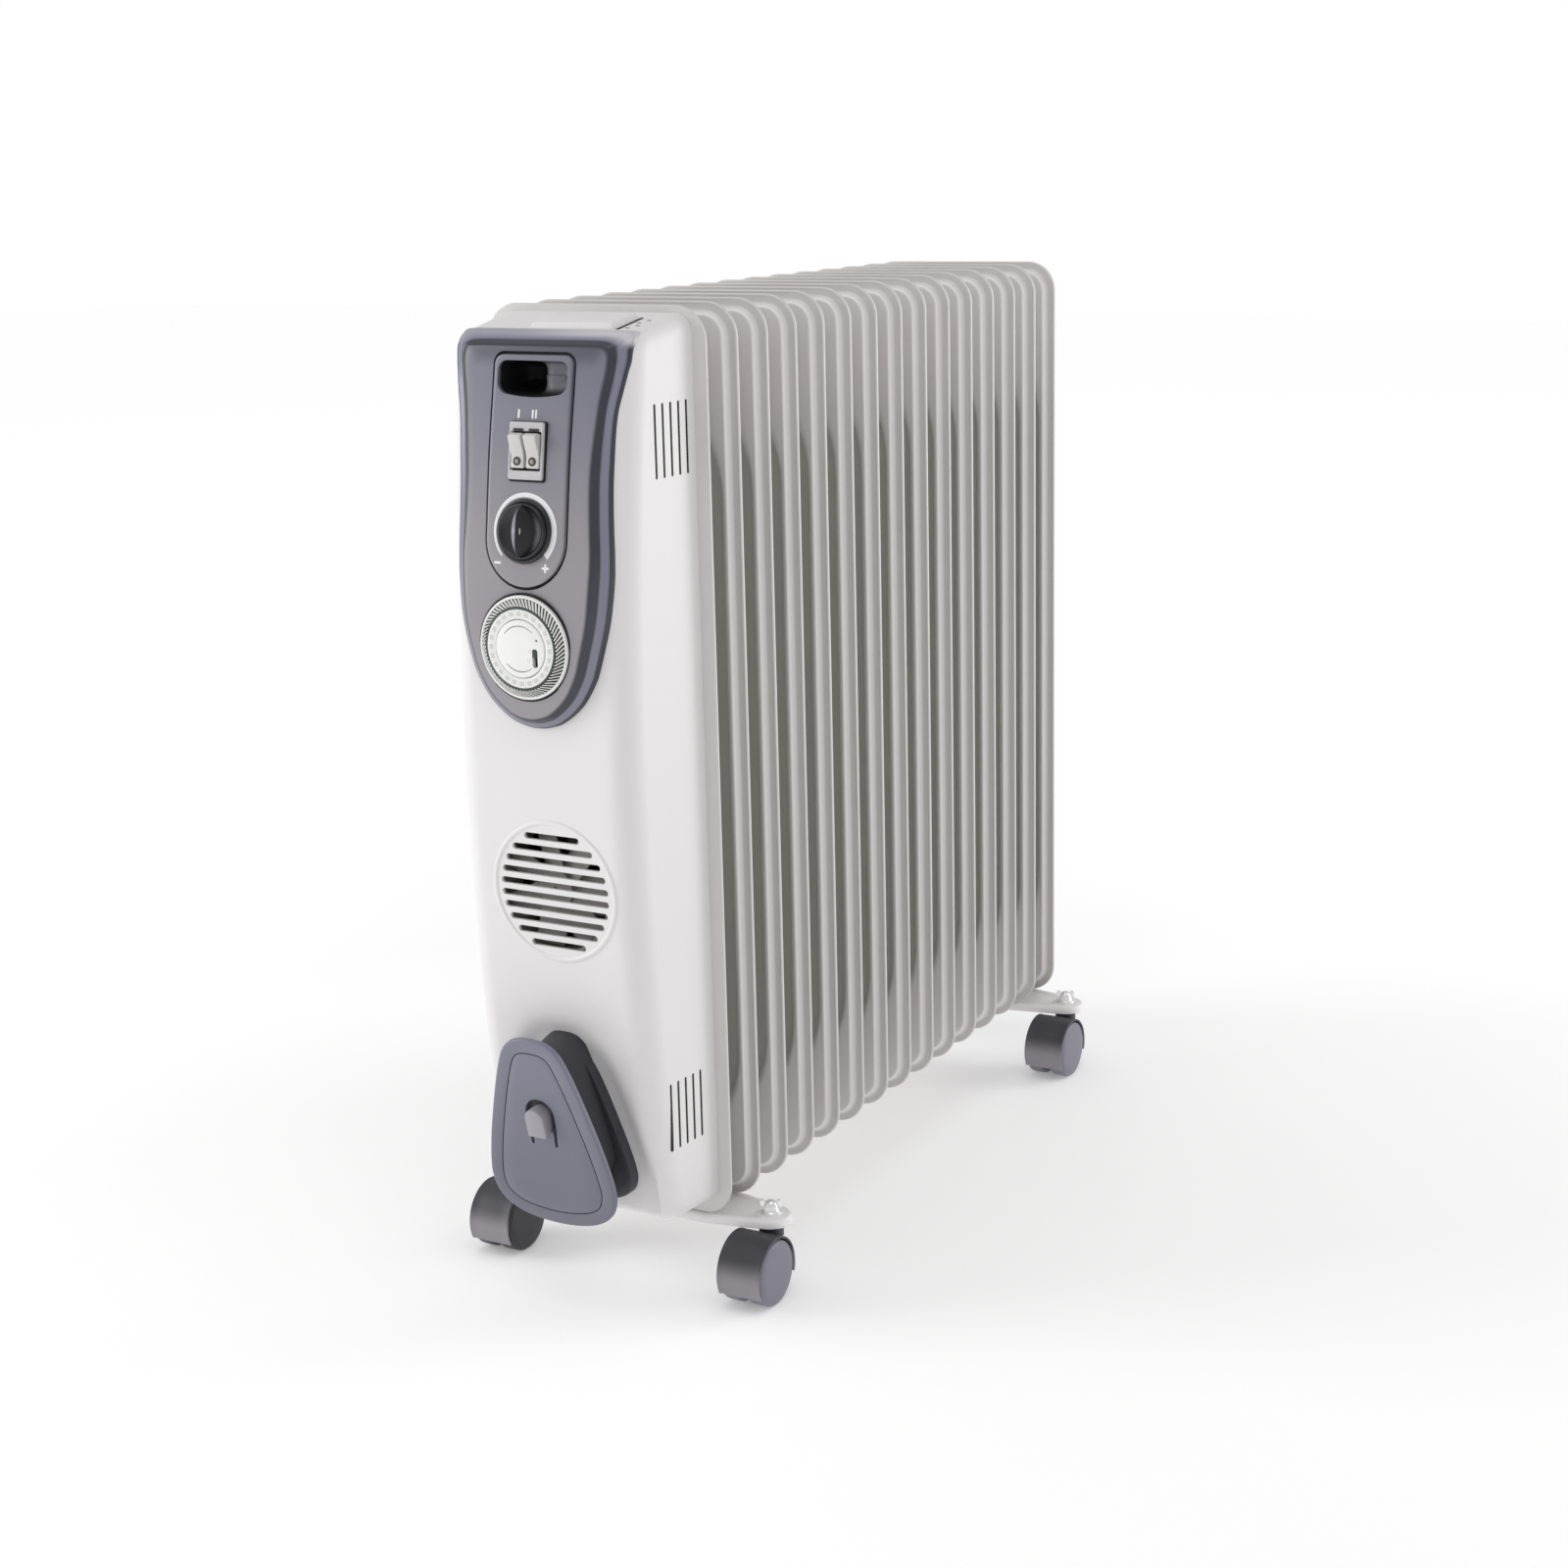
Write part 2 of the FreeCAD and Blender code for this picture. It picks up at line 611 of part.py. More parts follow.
# recessed grip behind the slot at the top of the insert
grip = keep(new_body("grip_body"), "grip_cup")
sk = new_sketch(grip, "XZ_Plane", "257")
rounded(sk, "-grip_half - grip_wall", "grip_half + grip_wall", "grip_low - grip_wall",
        "grip_top + grip_wall", "grip_corner + grip_wall")
pad(grip, sk, "grip_depth + grip_wall")
sk = new_sketch(grip, "XZ_Plane", "257 + grip_wall")
rounded(sk, "-grip_half", "grip_half", "grip_low", "grip_top", "grip_corner")
pocket(grip, sk, "grip_depth + 4", reverse=True)
sk = new_sketch(grip, "YZ_Plane")
spline(sk, front_curve(val("insert_thick") + 0.1), close_to=[(-360.0, 380.0), (-360.0, 690.0)])
pocket(grip, sk, "200", midplane=True)

# ---------------------------------------------------------------- rocker switches

BEZEL_TILT = math.degrees(math.atan2(303.5 - 296.3, 586.0 - 537.0))
bezel = keep(new_body("bezel_body"), "switch_bezel")
sk = new_sketch(bezel, "XZ_Plane")
rounded(sk, "-bezel_half", "bezel_half", "-(bezel_top - bezel_low) / 2",
        "(bezel_top - bezel_low) / 2", "1.5")
for side in ("-rocker_x", "rocker_x"):
    rectangle(sk, side + " - rocker_half - 0.3", side + " + rocker_half + 0.3",
              "-rocker_tall / 2 - 1.2", "rocker_tall / 2 + 0.9")
pad(bezel, sk, "2.2")
BEZEL_Y, BEZEL_Z = -298.3, 584.5
bezel.Placement = P(V(0, BEZEL_Y, BEZEL_Z), R(V(1, 0, 0), -BEZEL_TILT))

for k, side in ((1, -1), (2, 1)):
    rocker = keep(new_body("rocker_body_%d" % k), "rocker_%d" % k)
    sk = new_sketch(rocker, "YZ_Plane")
    polygon(sk, [("3", "-rocker_tall / 2 + 2"), ("3", "rocker_tall / 2 - 2"),
                 ("-3.5", "rocker_tall / 2 - 0.4"), ("-7.4", "rocker_tall / 2 - 0.9"),
                 ("-3.9", "-1"), ("-3.9", "-rocker_tall / 2 + 0.6")])
    pad(rocker, sk, "2 * rocker_half", midplane=True)
    sk = new_sketch(rocker, "XZ_Plane", "3.0")
    circle(sk, "0", "-7.5", "2.3")
    pocket(rocker, sk, "3", reverse=True)
    place = P(V(side * val("rocker_x"), BEZEL_Y + 1.0, BEZEL_Z), R(V(1, 0, 0), -BEZEL_TILT))
    rocker.Placement = place
    lens = keep(new_body("lens_body_%d" % k), "rocker_lens_%d" % k)
    sk = new_sketch(lens, "XZ_Plane", "3.0")
    circle(sk, "0", "-7.5", "2.25")
    pad(lens, sk, "1.3")
    lens.Placement = place

switch = keep(new_body("switch_body_body"), "switch_body")
sk = new_sketch(switch, "XZ_Plane")
rectangle(sk, "-bezel_half + 0.9", "bezel_half - 0.9", "-13.4", "13.4")
pad(switch, sk, "16", reverse=True)
sk = new_sketch(switch, "XZ_Plane", "1")
rectangle(sk, "-bezel_half + 1.6", "bezel_half - 1.6", "-12.5", "12.3")
pocket(switch, sk, "8")
sk = new_sketch(switch, "XZ_Plane", "-16")
for x in ("-7.5", "0", "7.5"):
    rectangle(sk, x + " - 0.4", x + " + 0.4", "-10", "-4")
    rectangle(sk, x + " - 0.4", x + " + 0.4", "4", "10")
pad(switch, sk, "7", reverse=True)
switch.Placement = P(V(0, BEZEL_Y, BEZEL_Z), R(V(1, 0, 0), -BEZEL_TILT))

# ---------------------------------------------------------------- thermostat

knob = keep(new_body("knob_body"), "thermostat_knob")
sk = new_sketch(knob, "YZ_Plane")
polygon(sk, [("0", "0"), ("0", "knob_radius"), ("-3", "knob_radius"),
             ("-knob_thick + 2", "knob_radius - 2.6"), ("-knob_thick", "knob_radius - 5.5"),
             ("-knob_thick", "0")])
revolve(knob, sk, "H_Axis")
sk = new_sketch(knob, "XZ_Plane", "knob_thick - 3")
top = val("knob_radius") - 1.4
waist = val("ridge_half")
sk.addGeometry(Part.Arc(V(0, -top, 0), V(waist, 0, 0), V(0, top, 0)), False)
sk.addGeometry(Part.Arc(V(0, top, 0), V(-waist, 0, 0), V(0, -top, 0)), False)
pad(knob, sk, "3 + ridge_height")
sk = new_sketch(knob, "XZ_Plane")
circle(sk, "0", "0", "shaft_radius + 0.05")
pocket(knob, sk, "9", reverse=True)
KNOB = P(V(0, val("knob_base_y"), val("knob_z")), R(V(1, 0, 0), -BEZEL_TILT))
knob.Placement = KNOB

shaft = keep(cylinder("shaft", "shaft_radius", "26", (0, 0, 0)), "thermostat_shaft")
shaft.Placement = KNOB.multiply(P(V(0, -8.5, 0), R(V(0, 0, 1), V(0, 1, 0))))
thermo = keep(new_body("thermo_body"), "thermostat_body")
sk = new_sketch(thermo, "XZ_Plane")
rectangle(sk, "-15", "15", "-14", "14")
circle(sk, "0", "0", "shaft_radius + 0.3")
pad(thermo, sk, "3", reverse=True)
sk = new_sketch(thermo, "XZ_Plane", "-3")
rectangle(sk, "-13", "13", "-12", "12")
circle(sk, "0", "0", "shaft_radius + 0.3")
pad(thermo, sk, "18", reverse=True)
thermo.Placement = KNOB.multiply(P(V(0, 7.5, 0), R()))

# ---------------------------------------------------------------- 24 hour timer

DIAL_Y = val("dial_y")
dial = keep(new_body("dial_body"), "timer_dial")
sk = new_sketch(dial, "YZ_Plane")
# back disc, inner hub and the raised segment ring
polygon(sk, [("2", "4.2"), ("2", "ring_outer + 0.8"), ("0", "ring_outer + 0.8"),
             ("0", "dial_outer"), ("-4.6", "dial_outer"), ("-4.6", "dial_inner"),
             ("0", "dial_inner"), ("0", "4.2")])
revolve(dial, sk, "H_Axis")
dial.Placement = P(V(0, DIAL_Y, val("timer_z")), R())

ring_body = new_body("tooth_ring_core")
sk = new_sketch(ring_body, "YZ_Plane")
polygon(sk, [("0", "ring_inner"), ("0", "ring_outer"), ("-1.4", "ring_outer"),
             ("-4.4", "ring_inner + 1.2"), ("-4.4", "ring_inner")])
revolve(ring_body, sk, "H_Axis")
sk = new_sketch(ring_body, "YZ_Plane")
polygon(sk, [("0", "ring_outer - 1.5"), ("0", "ring_outer + 0.5"), ("-2.2", "ring_outer + 0.5"),
             ("-5.2", "ring_inner + 1.6"), ("-4.0", "ring_inner + 1.2")])
tooth = pad(ring_body, sk, "2.0", midplane=True)
teeth = ring_body.newObject("PartDesign::PolarPattern", "teeth")
teeth.Originals = [tooth]
y_axis = [f for f in ring_body.Origin.OriginFeatures if f.Role == "Y_Axis"][0]
teeth.Axis = (y_axis, [""])
teeth.Angle = 360
teeth.Occurrences = 48
ring_body.Tip = teeth
keep(ring_body, "timer_tooth_ring")
ring_body.Placement = P(V(0, DIAL_Y, val("timer_z")), R())

face = keep(new_body("face_body"), "timer_face")
sk = new_sketch(face, "XZ_Plane", "1")
circle(sk, "0", "0", "face_radius")
pad(face, sk, "3.8")
sk = new_sketch(face, "XZ_Plane", "1")
circle(sk, "0", "0", "3.8")
pad(face, sk, "10.3", reverse=True)
sk = new_sketch(face, "XZ_Plane", "2")
rounded(sk, "slider_x - 2", "slider_x + 2", "slider_low", "slider_low + 12", "1.5")
pocket(face, sk, "10", reverse=True)
face.Placement = P(V(0, DIAL_Y, val("timer_z")), R())

slider = keep(new_body("slider_body"), "timer_slider")
sk = new_sketch(slider, "XZ_Plane", "2.4")
rounded(sk, "-1.8", "1.8", "-2.4", "2.4", "0.8")
pad(slider, sk, "3.4")
slider.Placement = P(V(val("slider_x"), DIAL_Y, val("timer_z + slider_low + 9")), R())

movement = keep(new_body("movement_body"), "timer_movement")
sk = new_sketch(movement, "XZ_Plane")
rounded(sk, "-30", "30", "-28", "28", "5")
pad(movement, sk, "24", reverse=True)
sk = new_sketch(movement, "XZ_Plane")
circle(sk, "0", "0", "3.9")
pocket(movement, sk, "4")
movement.Placement = P(V(0, DIAL_Y + 5.5, val("timer_z")), R())

# ---------------------------------------------------------------- fan heater

FAN = V(0, -292.0, val("grille_z"))
shroud = keep(new_body("shroud_body"), "fan_shroud")
sk = new_sketch(shroud, "XZ_Plane")
rounded(sk, "-shroud_half", "shroud_half", "-shroud_half", "shroud_half", "8")
circle(sk, "0", "0", "shroud_bore")
pad(shroud, sk, "26", reverse=True)
# spider that carries the motor
sk = new_sketch(shroud, "XZ_Plane", "-23")
rectangle(sk, "-shroud_bore - 1", "shroud_bore + 1", "-3", "3")
pad(shroud, sk, "3", reverse=True)
sk = new_sketch(shroud, "XZ_Plane", "-23")
rectangle(sk, "-3", "3", "-shroud_bore - 1", "shroud_bore + 1")
pad(shroud, sk, "3", reverse=True)
shroud.Placement = P(FAN, R())

motor = keep(new_body("motor_body"), "fan_motor")
sk = new_sketch(motor, "XZ_Plane")
circle(sk, "0", "0", "motor_radius")
pad(motor, sk, "11", reverse=True)
sk = new_sketch(motor, "XZ_Plane")
circle(sk, "0", "0", "1.5")
pad(motor, sk, "7")
motor.Placement = P(FAN + V(0, 12, 0), R())

impeller = keep(new_body("impeller_body"), "fan_impeller")
sk = new_sketch(impeller, "XZ_Plane")
circle(sk, "0", "0", "13")
circle(sk, "0", "0", "1.6")
pad(impeller, sk, "9", reverse=True)
sk = new_sketch(impeller, "YZ_Plane", "12")
polygon(sk, [("1.0", "-9"), ("2.6", "-9"), ("8.6", "9"), ("7.0", "9")])
blade = pad(impeller, sk, "impeller_radius - 12")
blades = impeller.newObject("PartDesign::PolarPattern", "blades")
blades.Originals = [blade]
y_axis = [f for f in impeller.Origin.OriginFeatures if f.Role == "Y_Axis"][0]
blades.Axis = (y_axis, [""])
blades.Angle = 360
blades.Occurrences = 7
bind(blades, "Occurrences", "blade_count")
impeller.Tip = blades
impeller.Placement = P(FAN + V(0, 2.4, 0), R())

ptc = keep(new_body("ptc_body"), "ptc_heater")
sk = new_sketch(ptc, "XZ_Plane")
rectangle(sk, "-40", "40", "-40", "40")
for k in range(5):
    low = -36 + k * 14.8
    rectangle(sk, "-36", "36", "%g" % low, "%g" % (low + 12.8))
pad(ptc, sk, "14", reverse=True)
ptc.Placement = P(FAN + V(0, 28, 0), R())

# ---------------------------------------------------------------- cord wrap

EGG = [(0.0, 0.0), (12.0, -1.6), (21.0, -8.0), (27.0, -20.0), (32.5, -36.0), (38.5, -56.0),
       (44.5, -78.0), (48.6, -98.0), (48.8, -110.0), (44.0, -121.0), (33.0, -127.5),
       (18.0, -130.5), (0.0, -131.5)]


def egg(sk, shrink=0.0):
    """Egg outline, narrow at the top, drawn in by about the given amount."""
    rows = [((49 - shrink) / 49 * x, z * (131.5 - 2 * shrink) / 131.5 - shrink)
            for x, z in EGG]
    left = [(-x, z) for x, z in rows[-2:0:-1]]
    spline(sk, rows + left)


WRAP = P(V(0, val("wrap_front_y"), val("wrap_front_z")), R(V(1, 0, 0), val("wrap_tilt")))
plate = keep(new_body("wrap_plate_body"), "cord_wrap_plate")
sk = new_sketch(plate, "XZ_Plane", "-wrap_plate_thick")
egg(sk)
pad(plate, sk, "wrap_plate_thick")
# U-shaped cut that frees the springy tongue, and the seat of the clip
sk = new_sketch(plate, "XZ_Plane", "0.5")
sk.addGeometry(Part.Arc(V(-9.5, -56, 0), V(0, -46.5, 0), V(9.5, -56, 0)), False)
sk.addGeometry(Part.LineSegment(V(9.5, -56, 0), V(9.5, -76, 0)), False)
sk.addGeometry(Part.LineSegment(V(9.5, -76, 0), V(8.2, -76, 0)), False)
sk.addGeometry(Part.LineSegment(V(8.2, -76, 0), V(8.2, -56, 0)), False)
sk.addGeometry(Part.Arc(V(8.2, -56, 0), V(0, -47.8, 0), V(-8.2, -56, 0)), False)
sk.addGeometry(Part.LineSegment(V(-8.2, -56, 0), V(-8.2, -76, 0)), False)
sk.addGeometry(Part.LineSegment(V(-8.2, -76, 0), V(-9.5, -76, 0)), False)
sk.addGeometry(Part.LineSegment(V(-9.5, -76, 0), V(-9.5, -56, 0)), False)
pocket(plate, sk, "20")
plate.Placement = WRAP

clip = keep(new_body("clip_body"), "cord_clip")
sk = new_sketch(clip, "XZ_Plane")
sk.addGeometry(Part.Arc(V(-7.6, -57, 0), V(0, -49.4, 0), V(7.6, -57, 0)), False)
sk.addGeometry(Part.LineSegment(V(7.6, -57, 0), V(7.6, -68, 0)), False)
sk.addGeometry(Part.LineSegment(V(7.6, -68, 0), V(-7.6, -68, 0)), False)
sk.addGeometry(Part.LineSegment(V(-7.6, -68, 0), V(-7.6, -57, 0)), False)
pad(clip, sk, "2.4")
clip.Placement = WRAP

base_raw = new_body("wrap_base_raw")
sk = new_sketch(base_raw, "XZ_Plane", "-22")
egg(sk, 16.0)
pad(base_raw, sk, "22 - wrap_plate_thick")
sk = new_sketch(base_raw, "XZ_Plane", "-60")
egg(sk, 2.0)
pad(base_raw, sk, "38.0")
base_raw.Placement = WRAP
# the flange keeps a 3.5 mm lip in front of the housing
front_lip = new_body("wrap_lip_space")
sk = new_sketch(front_lip, "YZ_Plane")
z_low, z_top = 60.0, 230.0
lip = 3.5
arc_cut(sk, (house_line(z_low) - lip, z_low), (house_line(145.0) - lip, 145.0),
        (house_line(z_top) - lip, z_top), -345.0)
pad(front_lip, sk, "200", midplane=True)
stem_raw = new_body("wrap_stem_raw")
sk = new_sketch(stem_raw, "XZ_Plane", "-50")
egg(sk, 16.0)
pad(stem_raw, sk, "50 - wrap_plate_thick")
stem_raw.Placement = WRAP
flange = combine("Cut", "wrap_flange", base_raw, front_lip)
joined = combine("Fuse", "wrap_joined", flange, stem_raw)
keep(combine("Cut", "wrap_base", joined, outer), "cord_wrap_base")

# ---------------------------------------------------------------- wiring parts in the housing

block = keep(new_body("terminal_body"), "terminal_block")
sk = new_sketch(block, "XZ_Plane")
rectangle(sk, "-22", "22", "-8", "8")
pad(block, sk, "14")
sk = new_sketch(block, "XZ_Plane", "4")
for k in range(4):
    circle(sk, "%g" % (-15 + 10 * k), "3", "2.6")
pocket(block, sk, "14", reverse=True)
block.Placement = P(V(0, RIM_FRONT, 160.0), R())

keep(cylinder("cutout", "9", "7", (-34, RIM_FRONT - 7, 200), V(0, 1, 0)), "thermal_cutout")

tip = keep(new_body("tip_body"), "tip_over_switch")
sk = new_sketch(tip, "XZ_Plane")
rectangle(sk, "-9", "9", "-14", "14")
pad(tip, sk, "18")
sk = new_sketch(tip, "XZ_Plane")
rectangle(sk, "-13", "13", "9", "12")
pad(tip, sk, "3")
tip.Placement = P(V(36, RIM_FRONT, 196.0), R())

gland = keep(new_body("gland_body"), "cord_gland")
sk = new_sketch(gland, "YZ_Plane")
polygon(sk, [("4", "-9"), ("7", "-9"), ("9.5", "-1"), ("11", "0"), ("11", "1.0"), ("8", "1.0"),
             ("8", "3.6"), ("10", "3.6"), ("10", "6"), ("4", "6")])
rev = gland.newObject("PartDesign::Revolution", "rev")
rev.Profile = sk
rev.ReferenceAxis = (sk, ["V_Axis"])
rev.Angle = 360
gland.Tip = rev
gland.Placement = P(V(38, -246, HOUSE_LOW - 1.05), R())

screw = new_body("screw_body")
sk = new_sketch(screw, "XY_Plane")
circle(sk, "0", "0", "3.4")
pad(screw, sk, "1.8", reverse=True)
sk = new_sketch(screw, "XY_Plane")
circle(sk, "0", "0", "1.7")
pad(screw, sk, "9")
sk = new_sketch(screw, "XY_Plane", "-1.8")
rectangle(sk, "-2.4", "2.4", "-0.45", "0.45")
pocket(screw, sk, "1", reverse=True)
group("housing_screws", screw, [P(V(x, -232, HOUSE_LOW), R()) for x in (-50, 50)])

# ---------------------------------------------------------------- feet and castors

GAP_Y = {"front": FIN_Y[0] + val("fin_pitch") / 2, "rear": FIN_Y[13] + val("fin_pitch") / 2}


def tapered_arm(sk, grow):
    """Foot outline: wide in the middle, round at both ends."""
    reach, tip_r = val("stem_x"), val("foot_tip") + grow
    root = val("foot_root_half") + grow
    knee = 62.0
    lean = math.atan2(root - tip_r, reach - knee)
    tx, ty = reach + tip_r * math.sin(lean) * 0.98, tip_r * math.cos(lean)
    pts = [(knee, root), (-knee, root)]
    sk.addGeometry(Part.LineSegment(V(tx, ty, 0), V(knee, root, 0)), False)
    sk.addGeometry(Part.LineSegment(V(knee, root, 0), V(-knee, root, 0)), False)
    sk.addGeometry(Part.LineSegment(V(-knee, root, 0), V(-tx, ty, 0)), False)
    sk.addGeometry(Part.Arc(V(-tx, ty, 0), V(-reach - tip_r, 0, 0), V(-tx, -ty, 0)), False)
    sk.addGeometry(Part.LineSegment(V(-tx, -ty, 0), V(-knee, -root, 0)), False)
    sk.addGeometry(Part.LineSegment(V(-knee, -root, 0), V(knee, -root, 0)), False)
    sk.addGeometry(Part.LineSegment(V(knee, -root, 0), V(tx, -ty, 0)), False)
    sk.addGeometry(Part.Arc(V(tx, -ty, 0), V(reach + tip_r, 0, 0), V(tx, ty, 0)), False)
    return pts


for end, y in GAP_Y.items():
    foot = keep(new_body(end + "_foot_body"), end + "_foot_bracket")
    sk = new_sketch(foot, "XY_Plane")
    tapered_arm(sk, 0.0)
    pad(foot, sk, "foot_drop", reverse=True)
    dress(foot, "Fillet", lambda e: e.BoundBox.ZMin > -1e-4, "Radius", "2.4")
    sk = new_sketch(foot, "XY_Plane", "-foot_drop")
    tapered_arm(sk, -val("foot_sheet"))
    pocket(foot, sk, "foot_drop - foot_sheet", reverse=True)
    sk = new_sketch(foot, "XY_Plane", "1")
    for x in ("-stem_x", "stem_x"):
        circle(sk, x, "0", "stem_radius + 0.1")
    for x in ("-(collar_radius + 3)", "collar_radius + 3"):
        circle(sk, x, "0", "ubolt_rod + 0.3")
    pocket(foot, sk, "12")
    foot.Placement = P(V(0, y, val("foot_top")), R())

ubolt = new_body("ubolt_body")
path = new_sketch(ubolt, "XZ_Plane")
bend = val("collar_radius + 3")
drop = val("foot_top - foot_drop + 1") - HEADER_Z["lower"]
path.addGeometry(Part.LineSegment(V(-bend, drop, 0), V(-bend, 0, 0)), False)
path.addGeometry(Part.ArcOfCircle(Part.Circle(V(0, 0, 0), V(0, 0, 1), bend), 0, math.pi), False)
path.addGeometry(Part.LineSegment(V(bend, 0, 0), V(bend, drop, 0)), False)
ring = new_sketch(ubolt, "XY_Plane", "foot_top - foot_drop + 1 - fin_low - header_inset")
circle(ring, "-(collar_radius + 3)", "0", "ubolt_rod")
pipe = ubolt.newObject("PartDesign::AdditivePipe", "bow")
pipe.Profile = ring
pipe.Spine = (path, ["Edge1", "Edge2", "Edge3"])
ubolt.Tip = pipe
group("u_bolts", ubolt, [P(V(0, y, HEADER_Z["lower"]), R()) for y in GAP_Y.values()])

nut = new_body("nut_body")
sk = new_sketch(nut, "XY_Plane")
hexagon = [("%.3f" % (4.6 * math.cos(math.radians(60 * k))),
            "%.3f" % (4.6 * math.sin(math.radians(60 * k)))) for k in range(6)]
hexagon = [(x if abs(float(x)) > 0.001 else "0", y if abs(float(y)) > 0.001 else "0")
           for x, y in hexagon]
polygon(sk, hexagon)
circle(sk, "0", "0", "ubolt_rod + 0.05")
pad(nut, sk, "3.2", reverse=True)
group("u_bolt_nuts", nut,
      [P(V(sx * bend, y, val("foot_top - foot_sheet")), R())
       for y in GAP_Y.values() for sx in (-1, 1)])

wing = new_body("wing_nut_body")
sk = new_sketch(wing, "YZ_Plane")
polygon(sk, [("0", "0"), ("6", "0"), ("5.4", "4.2"), ("4.2", "7.0"), ("2.2", "8.6"), ("0", "9")])
revolve(wing, sk, "V_Axis")
sk = new_sketch(wing, "XZ_Plane")
for s in (-1, 1):
    sk.addGeometry(Part.LineSegment(V(s * 3, 1, 0), V(s * 6.6, 3.4, 0)), False)
    sk.addGeometry(Part.Arc(V(s * 6.6, 3.4, 0), V(s * 7.8, 7, 0), V(s * 6.2, 10.4, 0)), False)
    sk.addGeometry(Part.LineSegment(V(s * 6.2, 10.4, 0), V(s * 3, 6.5, 0)), False)
    sk.addGeometry(Part.LineSegment(V(s * 3, 6.5, 0), V(s * 3, 1, 0)), False)
pad(wing, sk, "2.2", midplane=True)
sk = new_sketch(wing, "XY_Plane")
circle(sk, "0", "0", "stem_radius - 0.1")
pocket(wing, sk, "6", reverse=True)
STEMS = [(sx * val("stem_x"), GAP_Y[end]) for end in ("front", "rear") for sx in (-1, 1)]
group("castor_wing_nuts", wing,
      [P(V(x, y, val("foot_top")), R(V(0, 0, 1), 25)) for x, y in STEMS])

WHEEL_Z = val("wheel_radius")
HOOD_TOP = 48.2
stem = new_body("stem_body")
sk = new_sketch(stem, "YZ_Plane")
shoulder = val("foot_top - foot_sheet")
polygon(sk, [("0", "39.5"), ("stem_radius", "39.5"), ("stem_radius", "%g" % (HOOD_TOP + 0.4)),
             ("6.5", "%g" % (HOOD_TOP + 0.4)), ("6.5", "%g" % shoulder),
             ("stem_radius - 0.2", "%g" % shoulder), ("stem_radius - 0.2", "61.5"), ("0", "61.5")])
revolve(stem, sk, "V_Axis")
group("castor_stems", stem, [P(V(x, y, 0), R()) for x, y in STEMS])

CORNERS = ("front_left", "front_right", "rear_left", "rear_right")
for corner, (x, y) in zip(CORNERS, STEMS):
    place = P(V(x, y - val("castor_trail"), WHEEL_Z), R())
    hood = keep(new_body("hood_%s_body" % corner), "castor_hood_" + corner)
    sk = new_sketch(hood, "YZ_Plane")
    circle(sk, "0", "0", "hood_radius")
    pad(hood, sk, "2 * hood_half_width", midplane=True)
    sk = new_sketch(hood, "XY_Plane")
    circle(sk, "0", "castor_trail", "8")
    pad(hood, sk, "%g" % (HOOD_TOP - WHEEL_Z))
    for sign in ("-", ""):
        sk = new_sketch(hood, "YZ_Plane", sign + "2.8")
        circle(sk, "0", "0", "hood_bore")
        pocket(hood, sk, "20", reverse=(sign == ""))
    sk = new_sketch(hood, "YZ_Plane")
    polygon(sk, [("-30", "-12"), ("-26", "-12"), ("-8", "-19"), ("12", "-12"), ("40", "-2"),
                 ("40", "-40"), ("-30", "-40")])
    pocket(hood, sk, "60", midplane=True)
    sk = new_sketch(hood, "YZ_Plane")
    circle(sk, "0", "0", "axle_radius + 0.05")
    pocket(hood, sk, "60", midplane=True)
    sk = new_sketch(hood, "XY_Plane", "39 - wheel_radius")
    circle(sk, "0", "castor_trail", "stem_radius + 0.1")
    pocket(hood, sk, "20", reverse=True)
    hood.Placement = place
    keep(cylinder("axle_" + corner, "axle_radius", "2 * 14",
                  (x - 14, y - val("castor_trail"), WHEEL_Z), V(1, 0, 0)), "castor_axle_" + corner)
    for side, turn in (("outer", 0), ("inner", 180)):
        if x < 0:
            turn = 180 - turn
        wheel = keep(new_body("wheel_%s_%s" % (corner, side)),
                     "wheel_%s_%s" % (corner, side))
        sk = new_sketch(wheel, "YZ_Plane", "wheel_inner_x")
        circle(sk, "0", "0", "wheel_radius")
        pad(wheel, sk, "wheel_wide")
        dress(wheel, "Fillet", lambda e: abs(e.BoundBox.XLength) < 1e-4 and e.BoundBox.ZLength > 40,
              "Radius", "2.2")
        sk = new_sketch(wheel, "YZ_Plane", "wheel_inner_x - 1")
        circle(sk, "0", "0", "axle_radius + 0.1")
        pocket(wheel, sk, "14 - wheel_inner_x + 1.4", reverse=True)
        wheel.Placement = P(place.Base, R(V(0, 0, 1), turn))

# ---------------------------------------------------------------- check and write

doc.recompute()
problems = []
for obj in doc.Objects:
    if "Invalid" in obj.State or "Error" in obj.State:
        problems.append("%s (%s): %s" % (obj.Name, obj.Label, obj.State))
for label, obj in nodes.items():
    shape = obj.Shape
    if shape.isNull() or not shape.isValid() or not shape.Solids:
        problems.append("bad shape: " + label)
if problems:
    raise RuntimeError("\n".join(problems))
os.makedirs("parts", exist_ok=True)
for label, obj in nodes.items():
    obj.Shape.exportStep("parts/%s.step" % label)
print(len(nodes), "pieces")
whole = FreeCAD.BoundBox()
for obj in nodes.values():
    whole.add(obj.Shape.BoundBox)
print(whole)
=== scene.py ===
import json
import math

import bmesh
import bpy
import numpy as np
from mathutils import Matrix, Vector


